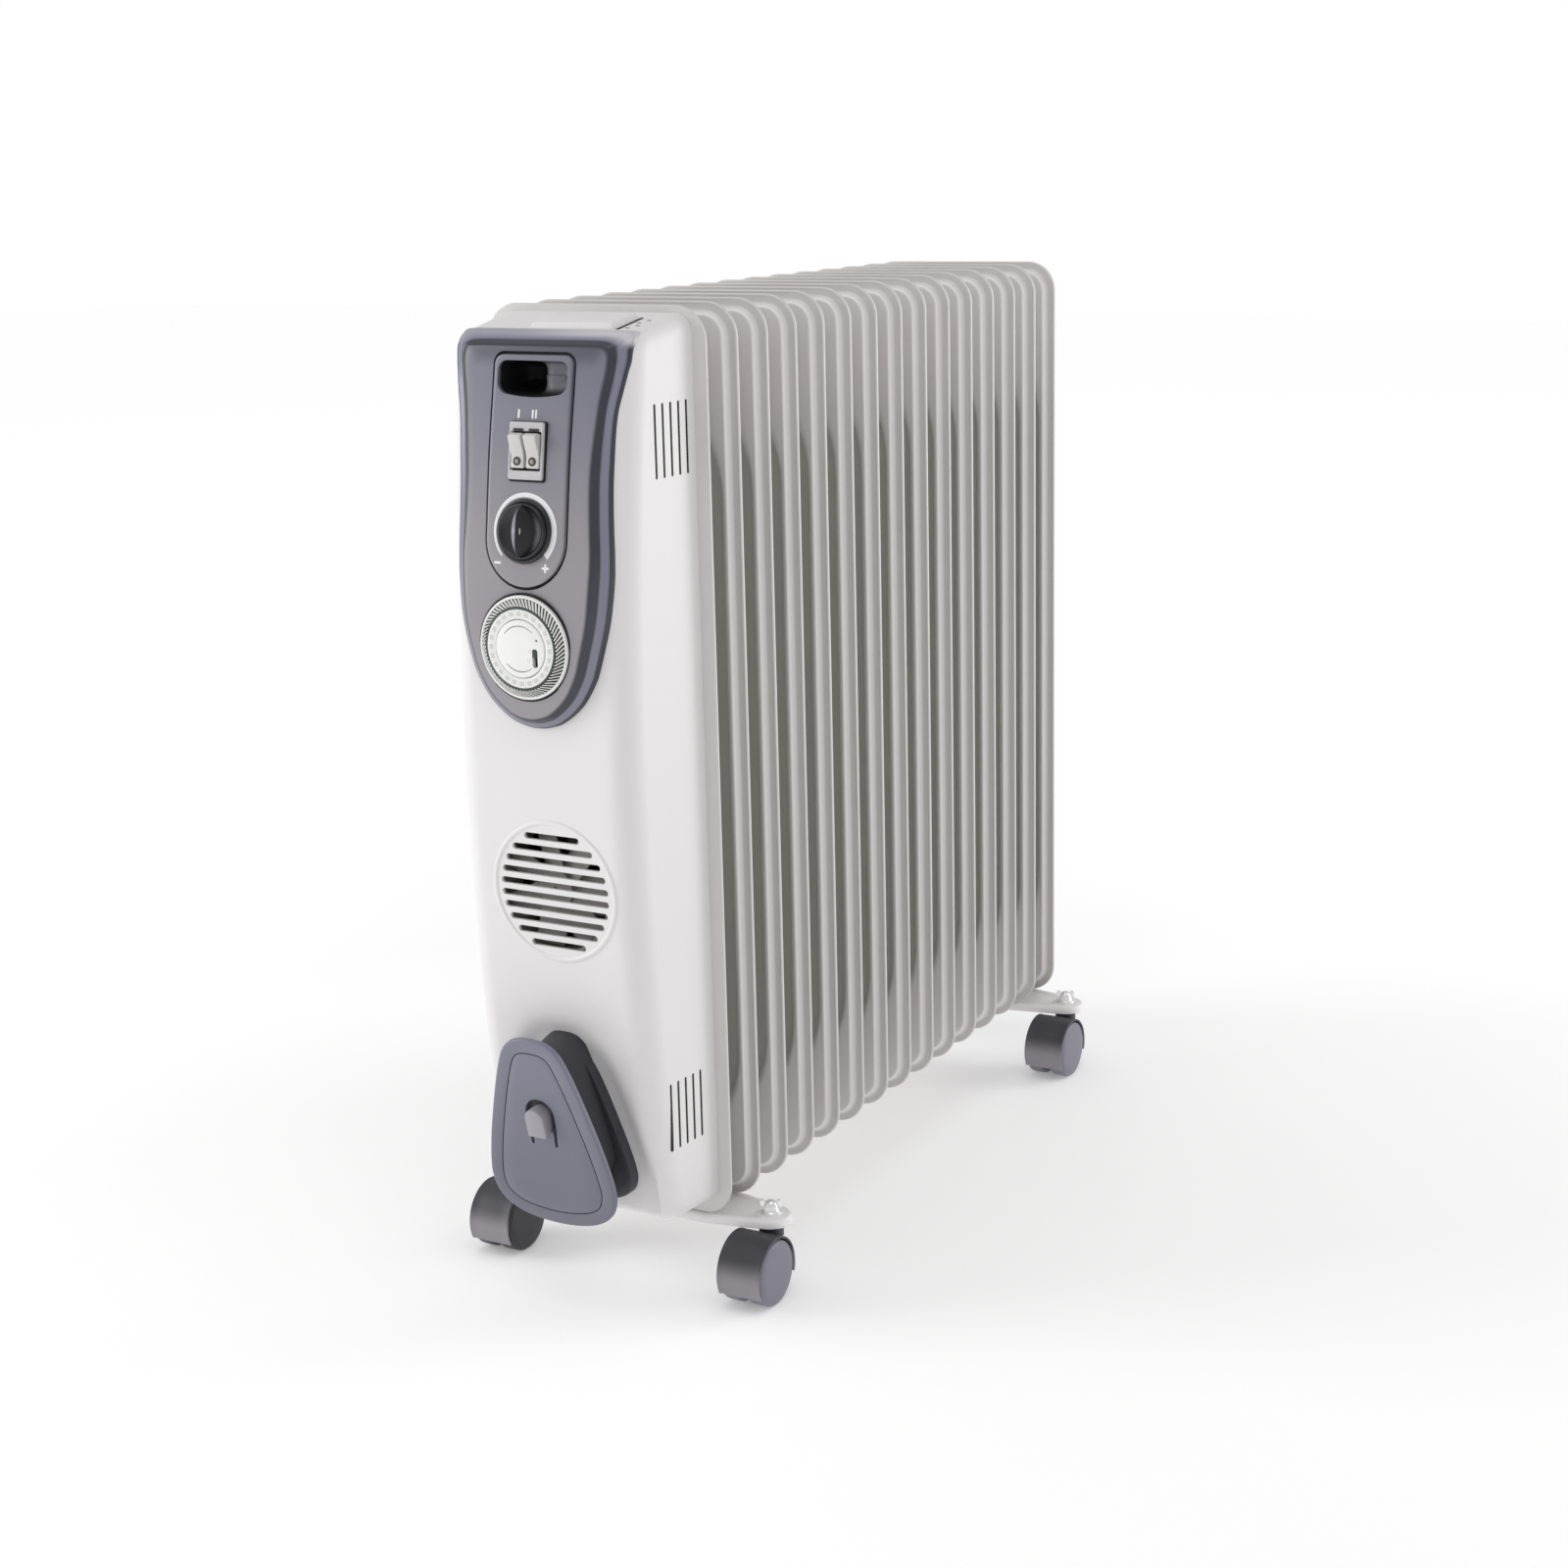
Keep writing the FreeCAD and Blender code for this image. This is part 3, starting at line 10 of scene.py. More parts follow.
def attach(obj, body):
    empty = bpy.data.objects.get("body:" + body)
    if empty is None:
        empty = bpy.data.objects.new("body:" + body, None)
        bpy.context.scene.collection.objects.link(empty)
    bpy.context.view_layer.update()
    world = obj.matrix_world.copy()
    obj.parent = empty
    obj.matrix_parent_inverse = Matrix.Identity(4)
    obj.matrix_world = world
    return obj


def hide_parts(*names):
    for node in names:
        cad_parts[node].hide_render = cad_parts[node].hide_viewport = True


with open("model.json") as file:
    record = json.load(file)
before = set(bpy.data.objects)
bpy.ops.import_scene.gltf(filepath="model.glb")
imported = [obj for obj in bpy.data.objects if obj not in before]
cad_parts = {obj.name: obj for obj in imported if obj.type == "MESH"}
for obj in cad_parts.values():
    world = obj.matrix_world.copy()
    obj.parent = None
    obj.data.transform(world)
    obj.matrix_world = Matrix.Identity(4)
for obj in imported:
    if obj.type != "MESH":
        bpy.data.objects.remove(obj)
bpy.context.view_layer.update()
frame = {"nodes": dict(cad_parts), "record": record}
MM = 0.001
TAU = 2 * math.pi


# ------------------------------------------------------------------ small maths

def step(a, b, x):
    """0 at a, 1 at b, with a soft start and end."""
    t = np.clip((np.asarray(x, float) - a) / (b - a), 0, 1)
    return t * t * t * (t * (6 * t - 15) + 10)


def cubic(xs, ys):
    """Natural cubic spline through the points, as a function."""
    xs, ys = np.array(xs, float), np.array(ys, float)
    n, h = len(xs), np.diff(xs)
    a, rhs = np.eye(n), np.zeros(n)
    for i in range(1, n - 1):
        a[i, i - 1:i + 2] = h[i - 1], 2 * (h[i - 1] + h[i]), h[i]
        rhs[i] = 6 * ((ys[i + 1] - ys[i]) / h[i] - (ys[i] - ys[i - 1]) / h[i - 1])
    m = np.linalg.solve(a, rhs)

    def value(x):
        x = np.clip(np.asarray(x, float), xs[0], xs[-1])
        i = np.clip(np.searchsorted(xs, x) - 1, 0, n - 2)
        u, v = xs[i + 1] - x, x - xs[i]
        return (m[i] * u ** 3 + m[i + 1] * v ** 3) / (6 * h[i]) + \
            (ys[i] / h[i] - m[i] * h[i] / 6) * u + (ys[i + 1] / h[i] - m[i + 1] * h[i] / 6) * v
    return value


def mirrored(points, steps=6):
    """Closed smooth line through the points and their mirror images."""
    p = np.array(list(points) + [(-x, z) for x, z in points[-2:0:-1]], float)
    out = []
    for i in range(len(p)):
        q = [p[(i + k) % len(p)] for k in (-1, 0, 1, 2)]
        for t in np.linspace(0, 1, steps, endpoint=False):
            out.append(0.5 * (2 * q[1] + (q[2] - q[0]) * t
                              + (2 * q[0] - 5 * q[1] + 4 * q[2] - q[3]) * t ** 2
                              + (3 * q[1] - q[0] - 3 * q[2] + q[3]) * t ** 3))
    return np.array(out)


def resample(points, count, closed=True):
    """The same line with evenly spaced points."""
    p = np.array(points, float)
    if closed:
        p = np.vstack([p, p[:1]])
    d = np.r_[0, np.cumsum(np.linalg.norm(np.diff(p, axis=0), axis=1))]
    s = np.linspace(0, d[-1], count + 1)[:-1] if closed else np.linspace(0, d[-1], count)
    return np.stack([np.interp(s, d, p[:, k]) for k in range(p.shape[1])], 1)


def inset(loop, amount):
    """A smooth closed 2-D line drawn in along its own normals."""
    t = np.roll(loop, -1, 0) - np.roll(loop, 1, 0)
    t /= np.linalg.norm(t, axis=1)[:, None]
    n = np.stack([-t[:, 1], t[:, 0]], 1)
    area = np.sum(loop[:, 0] * np.roll(loop[:, 1], -1) - np.roll(loop[:, 0], -1) * loop[:, 1])
    return loop + n * (amount if area > 0 else -amount)


def rounded(hw, hh, r, n=6, nx=1, ny=1, centre=(0, 0)):
    """Rounded rectangle, anticlockwise, with the same number of points for any size."""
    r = max(min(r, hw, hh), 1e-3)
    pts = []
    for cx, cy, a, run in ((hw - r, hh - r, 0, "x"), (r - hw, hh - r, 90, "y"),
                           (r - hw, r - hh, 180, "x"), (hw - r, r - hh, 270, "y")):
        for k in range(n + 1):
            t = math.radians(a + 90 * k / n)
            pts.append((cx + r * math.cos(t), cy + r * math.sin(t)))
        ends = {"x": (r - hw if a == 0 else hw - r, pts[-1][1]),
                "y": (pts[-1][0], r - hh if a == 90 else hh - r)}[run]
        m = nx if run == "x" else ny
        for k in range(1, m):
            pts.append((pts[-1][0] + (ends[0] - pts[-1][0]) / (m - k + 1),
                        pts[-1][1] + (ends[1] - pts[-1][1]) / (m - k + 1)))
    return np.array(pts) + np.array(centre)


# ------------------------------------------------------------------ mesh building, in millimetres

def loft(rings, closed=True, cap0=False, cap1=False, wrap=False):
    """Quads between successive rings of equally many points."""
    rings = [np.asarray(r, float) for r in rings]
    n, verts, faces = len(rings[0]), np.vstack(rings), []
    count = len(rings)
    for i in range(count if wrap else count - 1):
        j = (i + 1) % count
        for k in range(n if closed else n - 1):
            m = (k + 1) % n
            faces.append((i * n + k, i * n + m, j * n + m, j * n + k))
    if cap0:
        faces.append(tuple(range(n)))
    if cap1:
        faces.append(tuple(range((count - 1) * n, count * n))[::-1])
    return verts, faces


def solid(rings):
    """Closed rings with both ends capped."""
    return loft(rings, True, True, True)


def level_ring(loop, height):
    """A 2-D line as a ring at one height."""
    return np.column_stack([loop, np.full(len(loop), float(height))])


def lathe(profile, n=64, cap0=True, cap1=True):
    """Profile of (radius, height) turned about the local third axis."""
    a = np.arange(n) * TAU / n
    rings = [np.stack([r * np.cos(a), r * np.sin(a), np.full(n, h)], 1) for r, h in profile]
    return loft(rings, True, cap0, cap1)


def join(*parts):
    verts, faces, base = [], [], 0
    for v, f in parts:
        verts.append(np.asarray(v, float))
        faces += [tuple(i + base for i in face) for face in f]
        base += len(v)
    return np.vstack(verts), faces


def move(part, matrix):
    v = np.asarray(part[0], float)
    m = np.array(matrix, float)
    return v @ m[:3, :3].T + m[:3, 3], part[1]


def placed(rotation, origin):
    """Place as a 4 by 4 matrix."""
    m = np.eye(4)
    m[:3, :3], m[:3, 3] = rotation, origin
    return m


def facing(origin, tilt=0.0):
    """Local (across, up, out) of a piece on the front, leaning back by tilt degrees."""
    c, s = math.cos(math.radians(tilt)), math.sin(math.radians(tilt))
    return placed([[1, 0, 0], [0, s, -c], [0, c, s]], origin)


def at(x=0, y=0, z=0, turn=0.0):
    """Place with the local third axis up, turned about it."""
    c, s = math.cos(math.radians(turn)), math.sin(math.radians(turn))
    return placed([[c, -s, 0], [s, c, 0], [0, 0, 1]], (x, y, z))


def sideways(x, y, z, sign=1):
    """Place with the local third axis along sign * X."""
    return placed([[0, 0, sign], [sign, 0, 0], [0, 1, 0]], (x, y, z))


def raw_mesh(name, part, bevel=0.0, bevel_angle=40):
    me = bpy.data.meshes.new(name)
    me.from_pydata([tuple(float(c) * MM for c in v) for v in part[0]], [], part[1])
    bm = bmesh.new()
    bm.from_mesh(me)
    bmesh.ops.remove_doubles(bm, verts=bm.verts, dist=2e-6)
    bmesh.ops.dissolve_degenerate(bm, edges=bm.edges, dist=1e-6)
    bmesh.ops.recalc_face_normals(bm, faces=bm.faces)
    if bevel:
        sharp = [e for e in bm.edges if len(e.link_faces) == 2
                 and e.calc_face_angle(0) > math.radians(bevel_angle)]
        bmesh.ops.bevel(bm, geom=sharp, offset=bevel * MM, segments=3, affect="EDGES",
                        profile=0.6, clamp_overlap=True)
    bm.to_mesh(me)
    bm.free()
    return me


def finish_mesh(me, material, angle=32):
    me.materials.clear()
    me.materials.append(material)
    me.polygons.foreach_set("use_smooth", [True] * len(me.polygons))
    me.set_sharp_from_angle(angle=math.radians(angle))
    me.update()


def paint(me, **values):
    """Named 0-1 values on the points of a mesh, which its material mixes colours by."""
    for label, value in values.items():
        layer = me.attributes.new(label, "FLOAT", "POINT")
        layer.data.foreach_set("value", np.clip(value, 0, 1).astype(np.float32))


def points_of(me):
    """A mesh's points in millimetres."""
    return np.array([v.co for v in me.vertices]) / MM


def put(name, data):
    """A new object in the scene."""
    obj = bpy.data.objects.new(name, data)
    bpy.context.scene.collection.objects.link(obj)
    return obj


def piece(name, part, body, slot, replaces=(), bevel=0.0, angle=32, material=None, cut=None,
          bevel_angle=40):
    """One shown piece: its mesh, material, the body it rides on and the nodes it stands for."""
    me = part if isinstance(part, bpy.types.Mesh) else raw_mesh(name, part, bevel, bevel_angle)
    obj = put(name, me)
    if cut is not None:
        tool = put("tool", raw_mesh("tool", cut))
        mod = obj.modifiers.new("cut", "BOOLEAN")
        mod.operation, mod.solver, mod.object = "DIFFERENCE", "EXACT", tool
        dg = bpy.context.evaluated_depsgraph_get()
        new = bpy.data.meshes.new_from_object(obj.evaluated_get(dg))
        obj.modifiers.clear()
        obj.data = new
        bpy.data.objects.remove(tool)
        me = new
    finish_mesh(me, material or LOOK[slot], angle)
    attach(obj, body)
    if replaces:
        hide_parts(*replaces)
    return obj


def dark_filler(name, part):
    """Something black and unlit that fills a slot, seam or hole: a sheet of painted shade."""
    return piece(name, part, "heater", "inner_black", material=BLACK)


# ------------------------------------------------------------------ materials

def rgb(r, g, b):
    """Linear colour from ordinary 0-255 display values."""
    return tuple(((c / 255 + 0.055) / 1.055) ** 2.4 if c > 10 else c / 255 / 12.92
                 for c in (r, g, b)) + (1.0,)


def map_range(tree, source, **limits):
    """Map Range node fed by a socket; the limits are its inputs, such as from_min."""
    node = tree.nodes.new("ShaderNodeMapRange")
    for label, value in limits.items():
        node.inputs[label.replace("_", " ").title()].default_value = value
    tree.links.new(source, node.inputs["Value"])
    return node


def look(name, colour, rough, metal=0.0, spread=0.05, scale=35.0, grain=0.0, grain_scale=900.0,
         coat=0.0, coat_rough=0.08, fade=None, band=None, rough_spread=0.12):
    """Procedural finish: cloudy tone, uneven gloss and, where wanted, a fine moulded grain."""
    m = bpy.data.materials.new(name)
    m.use_nodes = True
    nt = m.node_tree
    bsdf = nt.nodes["Principled BSDF"]
    bsdf.inputs["Metallic"].default_value = metal
    bsdf.inputs["Coat Weight"].default_value = coat
    bsdf.inputs["Coat Roughness"].default_value = coat_rough
    coord = nt.nodes.new("ShaderNodeTexCoord")

    def noise_of(size, detail):
        node = nt.nodes.new("ShaderNodeTexNoise")
        node.inputs["Scale"].default_value = size
        node.inputs["Detail"].default_value = detail
        nt.links.new(coord.outputs["Object"], node.inputs["Vector"])
        return node

    def mix(factor, a, b):
        node = nt.nodes.new("ShaderNodeMix")
        node.data_type = "RGBA"
        nt.links.new(factor, node.inputs[0])
        for socket, value in ((node.inputs[6], a), (node.inputs[7], b)):
            if isinstance(value, tuple):
                socket.default_value = value
            else:
                nt.links.new(value, socket)
        return node.outputs[2]

    def spread_of(c):
        return mix(noise.outputs["Fac"], tuple(x * (1 - spread) for x in c[:3]) + (1.0,),
                   tuple(min(x * (1 + spread), 1.0) for x in c[:3]) + (1.0,))

    noise = noise_of(scale, 3.0)
    tone = spread_of(colour)
    if fade:
        other, low, high = fade
        split = nt.nodes.new("ShaderNodeSeparateXYZ")
        nt.links.new(coord.outputs["Object"], split.inputs[0])
        ramp = map_range(nt, split.outputs["Z"], from_min=low * MM, from_max=high * MM)
        ramp.interpolation_type = "SMOOTHSTEP"
        tone = mix(ramp.outputs["Result"], tone, spread_of(other))
    if band:
        for label, other in band:
            attribute = nt.nodes.new("ShaderNodeAttribute")
            attribute.attribute_name = label
            tone = mix(attribute.outputs["Fac"], tone, spread_of(other))
    nt.links.new(tone, bsdf.inputs["Base Color"])
    gloss = map_range(nt, noise.outputs["Fac"], to_min=rough * (1 - rough_spread),
                      to_max=rough * (1 + rough_spread))
    nt.links.new(gloss.outputs["Result"], bsdf.inputs["Roughness"])
    if grain:
        fine = noise_of(grain_scale, 2.0)
        bump = nt.nodes.new("ShaderNodeBump")
        bump.inputs["Strength"].default_value = grain
        bump.inputs["Distance"].default_value = 0.0002
        nt.links.new(fine.outputs["Fac"], bump.inputs["Height"])
        nt.links.new(bump.outputs["Normal"], bsdf.inputs["Normal"])
    return m


LOOK = {
    "housing_white": look("housing_white", rgb(230, 228, 228), 0.46, spread=0.012, coat=0.12,
                          coat_rough=0.35),
    # fin bands: painted shade on the flange and in the recessed web, a painted highlight along the
    # bead
    "fin_paint": look("fin_paint", rgb(212, 208, 207), 0.36, spread=0.02, grain=0.08, coat=0.35,
                      coat_rough=0.2, band=(("seam", rgb(196, 192, 190)),
                                            ("bead", rgb(238, 234, 233)),
                                            ("web", rgb(180, 176, 171)))),
    # fascia bands: painted shade on the shoulder and under the top rim, painted light on the flange, a
    # painted highlight on the top lip
    "fascia_grey": look("fascia_grey", rgb(147, 144, 149), 0.34, spread=0.02, grain=0.08,
                        fade=(rgb(113, 113, 128), 505, 640), coat=0.15, coat_rough=0.25,
                        band=(("shade", rgb(50, 51, 62)), ("lip", rgb(126, 126, 146)),
                              ("glow", rgb(196, 194, 197)))),
    "cup_dark": look("cup_dark", rgb(58, 58, 66), 0.5, spread=0.05, grain=0.1),
    "switch_grey": look("switch_grey", rgb(190, 188, 190), 0.42, spread=0.02, grain=0.08),
    "rocker_grey": look("rocker_grey", rgb(204, 201, 200), 0.34, spread=0.02, grain=0.05),
    "lens_amber": look("lens_amber", rgb(150, 138, 122), 0.18, spread=0.08, coat=0.4),
    "knob_dark": look("knob_dark", rgb(22, 22, 27), 0.34, spread=0.06, coat=0.15, coat_rough=0.25),
    "dial_white": look("dial_white", rgb(236, 236, 234), 0.34, spread=0.012),
    "slider_dark": look("slider_dark", rgb(46, 62, 58), 0.35, spread=0.06),
    "inner_black": look("inner_black", rgb(24, 24, 26), 0.55, spread=0.1, grain=0.08),
    "fan_plastic": look("fan_plastic", rgb(150, 145, 140), 0.42, spread=0.05),
    "inner_white": look("inner_white", rgb(196, 195, 190), 0.5, spread=0.03),
    "bright_steel": look("bright_steel", rgb(196, 196, 196), 0.28, metal=1.0, spread=0.04),
    "nut_chrome": look("nut_chrome", rgb(248, 248, 248), 0.3, metal=0.7, spread=0.02),
    "foot_paint": look("foot_paint", rgb(240, 238, 238), 0.34, spread=0.02, grain=0.05),
    # castor hoods: painted shade, darker towards the top of the hood
    "castor_grey": look("castor_grey", rgb(142, 139, 145), 0.5, spread=0.04, grain=0.06,
                        fade=(rgb(66, 65, 72), 22, 38)),
    "wheel_grey": look("wheel_grey", rgb(122, 120, 133), 0.42, spread=0.03, grain=0.08),
    "element_metal": look("element_metal", rgb(150, 148, 142), 0.35, metal=1.0, spread=0.06),
    "ptc_metal": look("ptc_metal", rgb(120, 120, 122), 0.45, metal=1.0, spread=0.06),
    "rubber_black": look("rubber_black", rgb(28, 28, 29), 0.6, spread=0.08, grain=0.1),
}
# cord wrap plate: painted shade in its groove, lighter towards the top
PLATE = look("plate_slate", rgb(112, 112, 126), 0.38, spread=0.02, grain=0.08,
             fade=(rgb(124, 124, 140), 90, 190), band=(("groove", rgb(58, 58, 66)),))
# grip recess: near black as painted shade, with painted light on its right wall
CUP = look("grip_dark", rgb(16, 16, 18), 0.5, spread=0.04, grain=0.1,
           band=(("light", rgb(92, 92, 100)),))
# knob ridge: painted highlight on its left facet
RIDGE = look("knob_ridge", rgb(18, 18, 23), 0.5, spread=0.06,
             band=(("sheen", rgb(148, 148, 162)),))
# left castor wheels: a painted-shade copy of the wheel grey
SHADY = look("wheel_dark", rgb(46, 45, 50), 0.42, spread=0.03, grain=0.08)
CLIP = look("clip_grey", rgb(160, 157, 165), 0.42, spread=0.02, grain=0.08)
BLACK = look("gap_black", rgb(10, 10, 11), 0.75, spread=0.1)
MARK = look("white_mark", rgb(235, 234, 236), 0.5, spread=0.015)
GREEN = look("dial_shadow", rgb(20, 30, 28), 0.6, spread=0.06)
SQUARE = look("dial_square", rgb(206, 207, 205), 0.5, spread=0.03)
INK = look("dial_ink", rgb(62, 76, 73), 0.5, spread=0.05)

for part_row in frame["record"]["subparts"]:
    node = frame["nodes"].get(part_row["node"])
    if node is not None:
        node.data.materials.clear()
        node.data.materials.append(LOOK[part_row["material_slot"]])

# ------------------------------------------------------------------ fins

FIN_Y = [-217.6 + 38.4 * k for k in range(15)]
FIN_MID, FIN_H, FIN_W, FIN_R = 363.0, 307.0, 84.0, 23.0
HEADERS = (103.0, 623.0)
PAN, LAST_PAN = 4.3, 8.2
LEVELS = [0, 0.15, 0.45, 0.9, 1.4, 2.0, 3.0, 4.2, 5.0, *(5.6 + 0.6 * k for k in range(8)),
          *(10.6 + k for k in range(8)), 18.8, 20, 21.4, 23, 25, 28, *range(31, 83, 3), FIN_W]
ROWS = [0, 50, 100, 140, 165, 180, 190, 198, 205, 211, 216, 221, 225, 229, 233, 237, 241, 246,
        252, 260, 270, 284]


def fin_loop(d):
    w, h = FIN_W - d, FIN_H - d
    r = min(max(FIN_R - d, 6.0), w)
    reach = h - r
    rows = [z if z <= 180 else 180 + (z - 180) * (reach - 180) / (284 - 180) for z in ROWS]
    pts = [(w, z) for z in [-z for z in rows[:0:-1]] + rows]
    arc = [math.radians(10 * k) for k in range(1, 9)]
    pts += [(w - r + r * math.cos(a), reach + r * math.sin(a)) for a in arc]
    across = [(w - r) * f for f in (1, 0.75, 0.5, 0.25, 0, -0.25, -0.5, -0.75, -1)]
    pts += [(x, h) for x in across]
    pts += [(r - w - r * math.sin(a), reach + r * math.cos(a)) for a in arc]
    half = np.array(pts)
    return np.vstack([half, -half])


def web_mask(x, z, side, end):
    """1 on the recessed web of a fin, 0 outside, with the widths of its two slopes."""
    away = np.abs(z + 9.5)
    edge = 10.6 + 8.0 * (np.maximum(away - 190, 0) / 38.0) ** 2
    return step(*side, FIN_W - edge - np.abs(x)) * step(*end, 236 - away)


def fin_height(x, z, d, pan):
    """Half thickness of a fin: rolled rim, raised oil channel with a bead, recessed web."""
    rim_roll = np.interp(d, [0, 0.15, 0.45, 0.9, 1.4, 2.0, 5.0],
                         [0, 0.75, 1.2, 1.4, 1.25, 1.2, 1.7])
    plateau = (pan - 0.5) * step(4.6, 9.4, d) + 0.75 * np.exp(-((d - 8.1) / 1.25) ** 2)
    web = web_mask(x, z, (-1.2, 5.5), (-8, 30))
    return rim_roll + plateau * (1 - web) - 0.5 * web * step(9, 12, d)


def fin_mesh(name, front_pan=True, rear_pan=PAN):
    sides, marks = [], []
    for sign in (-1, 1):
        rings = []
        for d in LEVELS:
            loop = fin_loop(d)
            h = fin_height(loop[:, 0], loop[:, 1], d, rear_pan if sign > 0 else PAN)
            if sign < 0 and not front_pan:
                h = np.minimum(h, 1.2)
            rings.append(np.stack([loop[:, 0], sign * h, loop[:, 1]], 1))
            plain = sign < 0 and not front_pan
            marks += [(x, sign * h[i], z, 0.5 if plain else d) for i, (x, z) in enumerate(loop)]
        sides.append(loft(rings))
    me = raw_mesh(name, join(*sides))
    finish_mesh(me, LOOK["fin_paint"], 60)
    known = {tuple(round(float(c), 2) for c in q[:3]): q[3] for q in marks}
    co = points_of(me)
    d = np.array([known.get(tuple(round(float(c), 2) for c in v), 0.5) for v in co])
    # painted shade in the recessed web (not on the last fin's rear side) and on the flange, a painted
    # highlight along the bead
    paint(me, web=web_mask(co[:, 0], co[:, 2], (0.5, 4.0), (-4, 16))
          * (1 - (rear_pan > PAN) * (co[:, 1] > 0)),
          bead=np.exp(-((d - 8.3) / 1.5) ** 2),
          seam=step(0.8, 1.8, d) - step(4.8, 6.4, d))
    return me


shared = fin_mesh("fin_pressing")
first = fin_mesh("first_fin_pressing", False)
last = fin_mesh("last_fin_pressing", True, LAST_PAN)
for k, y in enumerate(FIN_Y):
    fin = put("fin_%02d" % (k + 1), {0: first, 14: last}.get(k, shared))
    fin.location = (0, y * MM, FIN_MID * MM)
    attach(fin, "heater")
    if k in (0, 1, 14):
        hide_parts({0: "front_fin", 1: "middle_fins", 14: "rear_fin"}[k])

for level, z in (("lower", HEADERS[0]), ("upper", HEADERS[1])):
    rows = []
    for k in range(14):
        mid = FIN_Y[k] + 19.2
        prof = [(17, -14.2), (36, -14.2), (35.0, -13.6), (32.0, -13.2), (29.0, -12.2), (26.4, -9.8),
                (25.0, -6.0), (25.0, -0.9), (25.9, -0.5), (25.9, 0.5), (25.0, 0.9), (25.0, 6.0),
                (26.4, 9.8), (29.0, 12.2), (32.0, 13.2), (35.0, 13.6), (36, 14.2), (17, 14.2)]
        rows.append(move(lathe(prof, 48, False, False), facing((0, mid, z))))
    piece(level + "_collars", join(*rows), "heater", "fin_paint", [level + "_header_collars"])

# ------------------------------------------------------------------ housing

REAR = -218.8
H_LOW, H_TOP = 69.0, 656.0
foot, waist, brow = np.array([(-275.0, 75.0), (-299.7, 365.5), (-281.0, H_TOP)])
BOW_CENTRE = np.linalg.solve(np.array([waist - foot, brow - waist]) * 2,
                             [waist @ waist - foot @ foot, brow @ brow - waist @ waist])
BOW_R = np.linalg.norm(waist - BOW_CENTRE)
H_CORNER, H_TOP_R, H_LOW_R = 19.0, 12.0, 7.0


def front_y(z):
    """Y of the bowed front at height z: an arc through three points."""
    return BOW_CENTRE[0] - np.sqrt(BOW_R ** 2 - (np.asarray(z, float) - BOW_CENTRE[1]) ** 2)


def half_width(y):
    return 74.0 - 6.0 * (REAR - y) / 81.2


EGG = np.array([(0.0, 0.0), (12.0, -1.6), (21.0, -8.0), (27.0, -20.0), (32.5, -36.0),
                (38.5, -56.0), (44.5, -78.0), (48.6, -98.0), (48.8, -110.0), (44.0, -121.0),
                (33.0, -127.5), (18.0, -130.5), (0.0, -131.5)])
EGG_LOOP = resample(mirrored(EGG, 12), 120)


def egg(shrink=0.0):
    return EGG_LOOP * [(49 - shrink) / 49, (131.5 - 2 * shrink) / 131.5] - [0, shrink]


NICHE = egg(0) + [0, 192.0]


def niche(x, z):
    """Depth of the soft scoop in the front of the housing round the cord wrap."""
    out = np.zeros(np.shape(x))
    for idx in np.ndindex(np.shape(x)):
        if z[idx] > 235:
            continue
        d = np.min(np.hypot(NICHE[:, 0] - x[idx], NICHE[:, 1] - z[idx]))
        inside = abs(x[idx]) < np.interp(z[idx], NICHE[:61, 1][::-1], NICHE[:61, 0][::-1]) \
            and 60 < z[idx] < 192
        out[idx] = 1.0 if inside else 1 - step(2, 19, d)
    return 4.5 * out


def house_ring(z, gap, shrink):
    """Plan outline of the housing at height z, from one rear edge round the front."""
    f = float(front_y(z)) + gap + shrink
    c = H_CORNER - gap
    cy = f + c
    edge = half_width(cy) - gap - shrink - c
    pts = [(half_width(y) - gap - shrink, y) for y in np.linspace(REAR, cy, 9)[:-1]]
    pts += [(edge + c * math.cos(a), cy - c * math.sin(a)) for a in np.linspace(0, math.pi / 2, 13)]
    right = np.array(pts)
    front = np.array([(x, f) for x in np.linspace(edge, -edge, 31)[1:-1]])
    return np.vstack([right, front, right[::-1] * [-1, 1]])


def roof_rise(y, z):
    """The roof climbs towards the fins."""
    return 9.0 * np.clip((np.asarray(y) + 272.0) / 53.0, 0, 1) * step(630, 656, z)


def toward_rear(ring, f):
    """The ring drawn in to the middle of its rear edge, f times its size."""
    ring = ring.copy()
    ring[:, 0] *= f
    ring[:, 1] = REAR + (ring[:, 1] - REAR) * f
    return ring


def house_surface(gap):
    """Rings of the housing from the middle of its underside up to the middle of its roof."""
    r_low, r_top = H_LOW_R - gap, H_TOP_R - gap
    low, top = H_LOW + gap, H_TOP - gap
    flat_low = house_ring(low, gap, r_low)
    rings = [level_ring(toward_rear(flat_low, f), low) for f in (0.0, 0.35, 0.7)]
    for k in range(7):
        a = math.radians(15 * k)
        z = low + r_low * (1 - math.cos(a))
        rings.append(level_ring(house_ring(z, gap, r_low * (1 - math.sin(a))), z))
    for z in np.linspace(low + r_low, top - r_top, 104)[1:-1]:
        rings.append(level_ring(house_ring(z, gap, 0.0), z))
    for k in range(8):
        a = math.radians(90 * k / 7)
        z = top - r_top * (1 - math.sin(a))
        rings.append(level_ring(house_ring(z, gap, r_top * (1 - math.cos(a))), z))
    flat_top = rings[-1]
    rings += [toward_rear(flat_top, f) for f in (0.8, 0.5, 0.2, 0.0)]
    rings = np.array(rings)
    rings[..., 2] += roof_rise(rings[..., 1], rings[..., 2])
    mid = (np.abs(rings[..., 0]) < 60) & (rings[..., 1] < -262) & (rings[..., 2] < 235)
    sel = np.where(mid)
    deep = niche(rings[..., 0][sel], rings[..., 2][sel])
    rings[..., 1][sel] += deep * step(H_LOW - 2, H_LOW + 1, rings[..., 2][sel])
    return rings


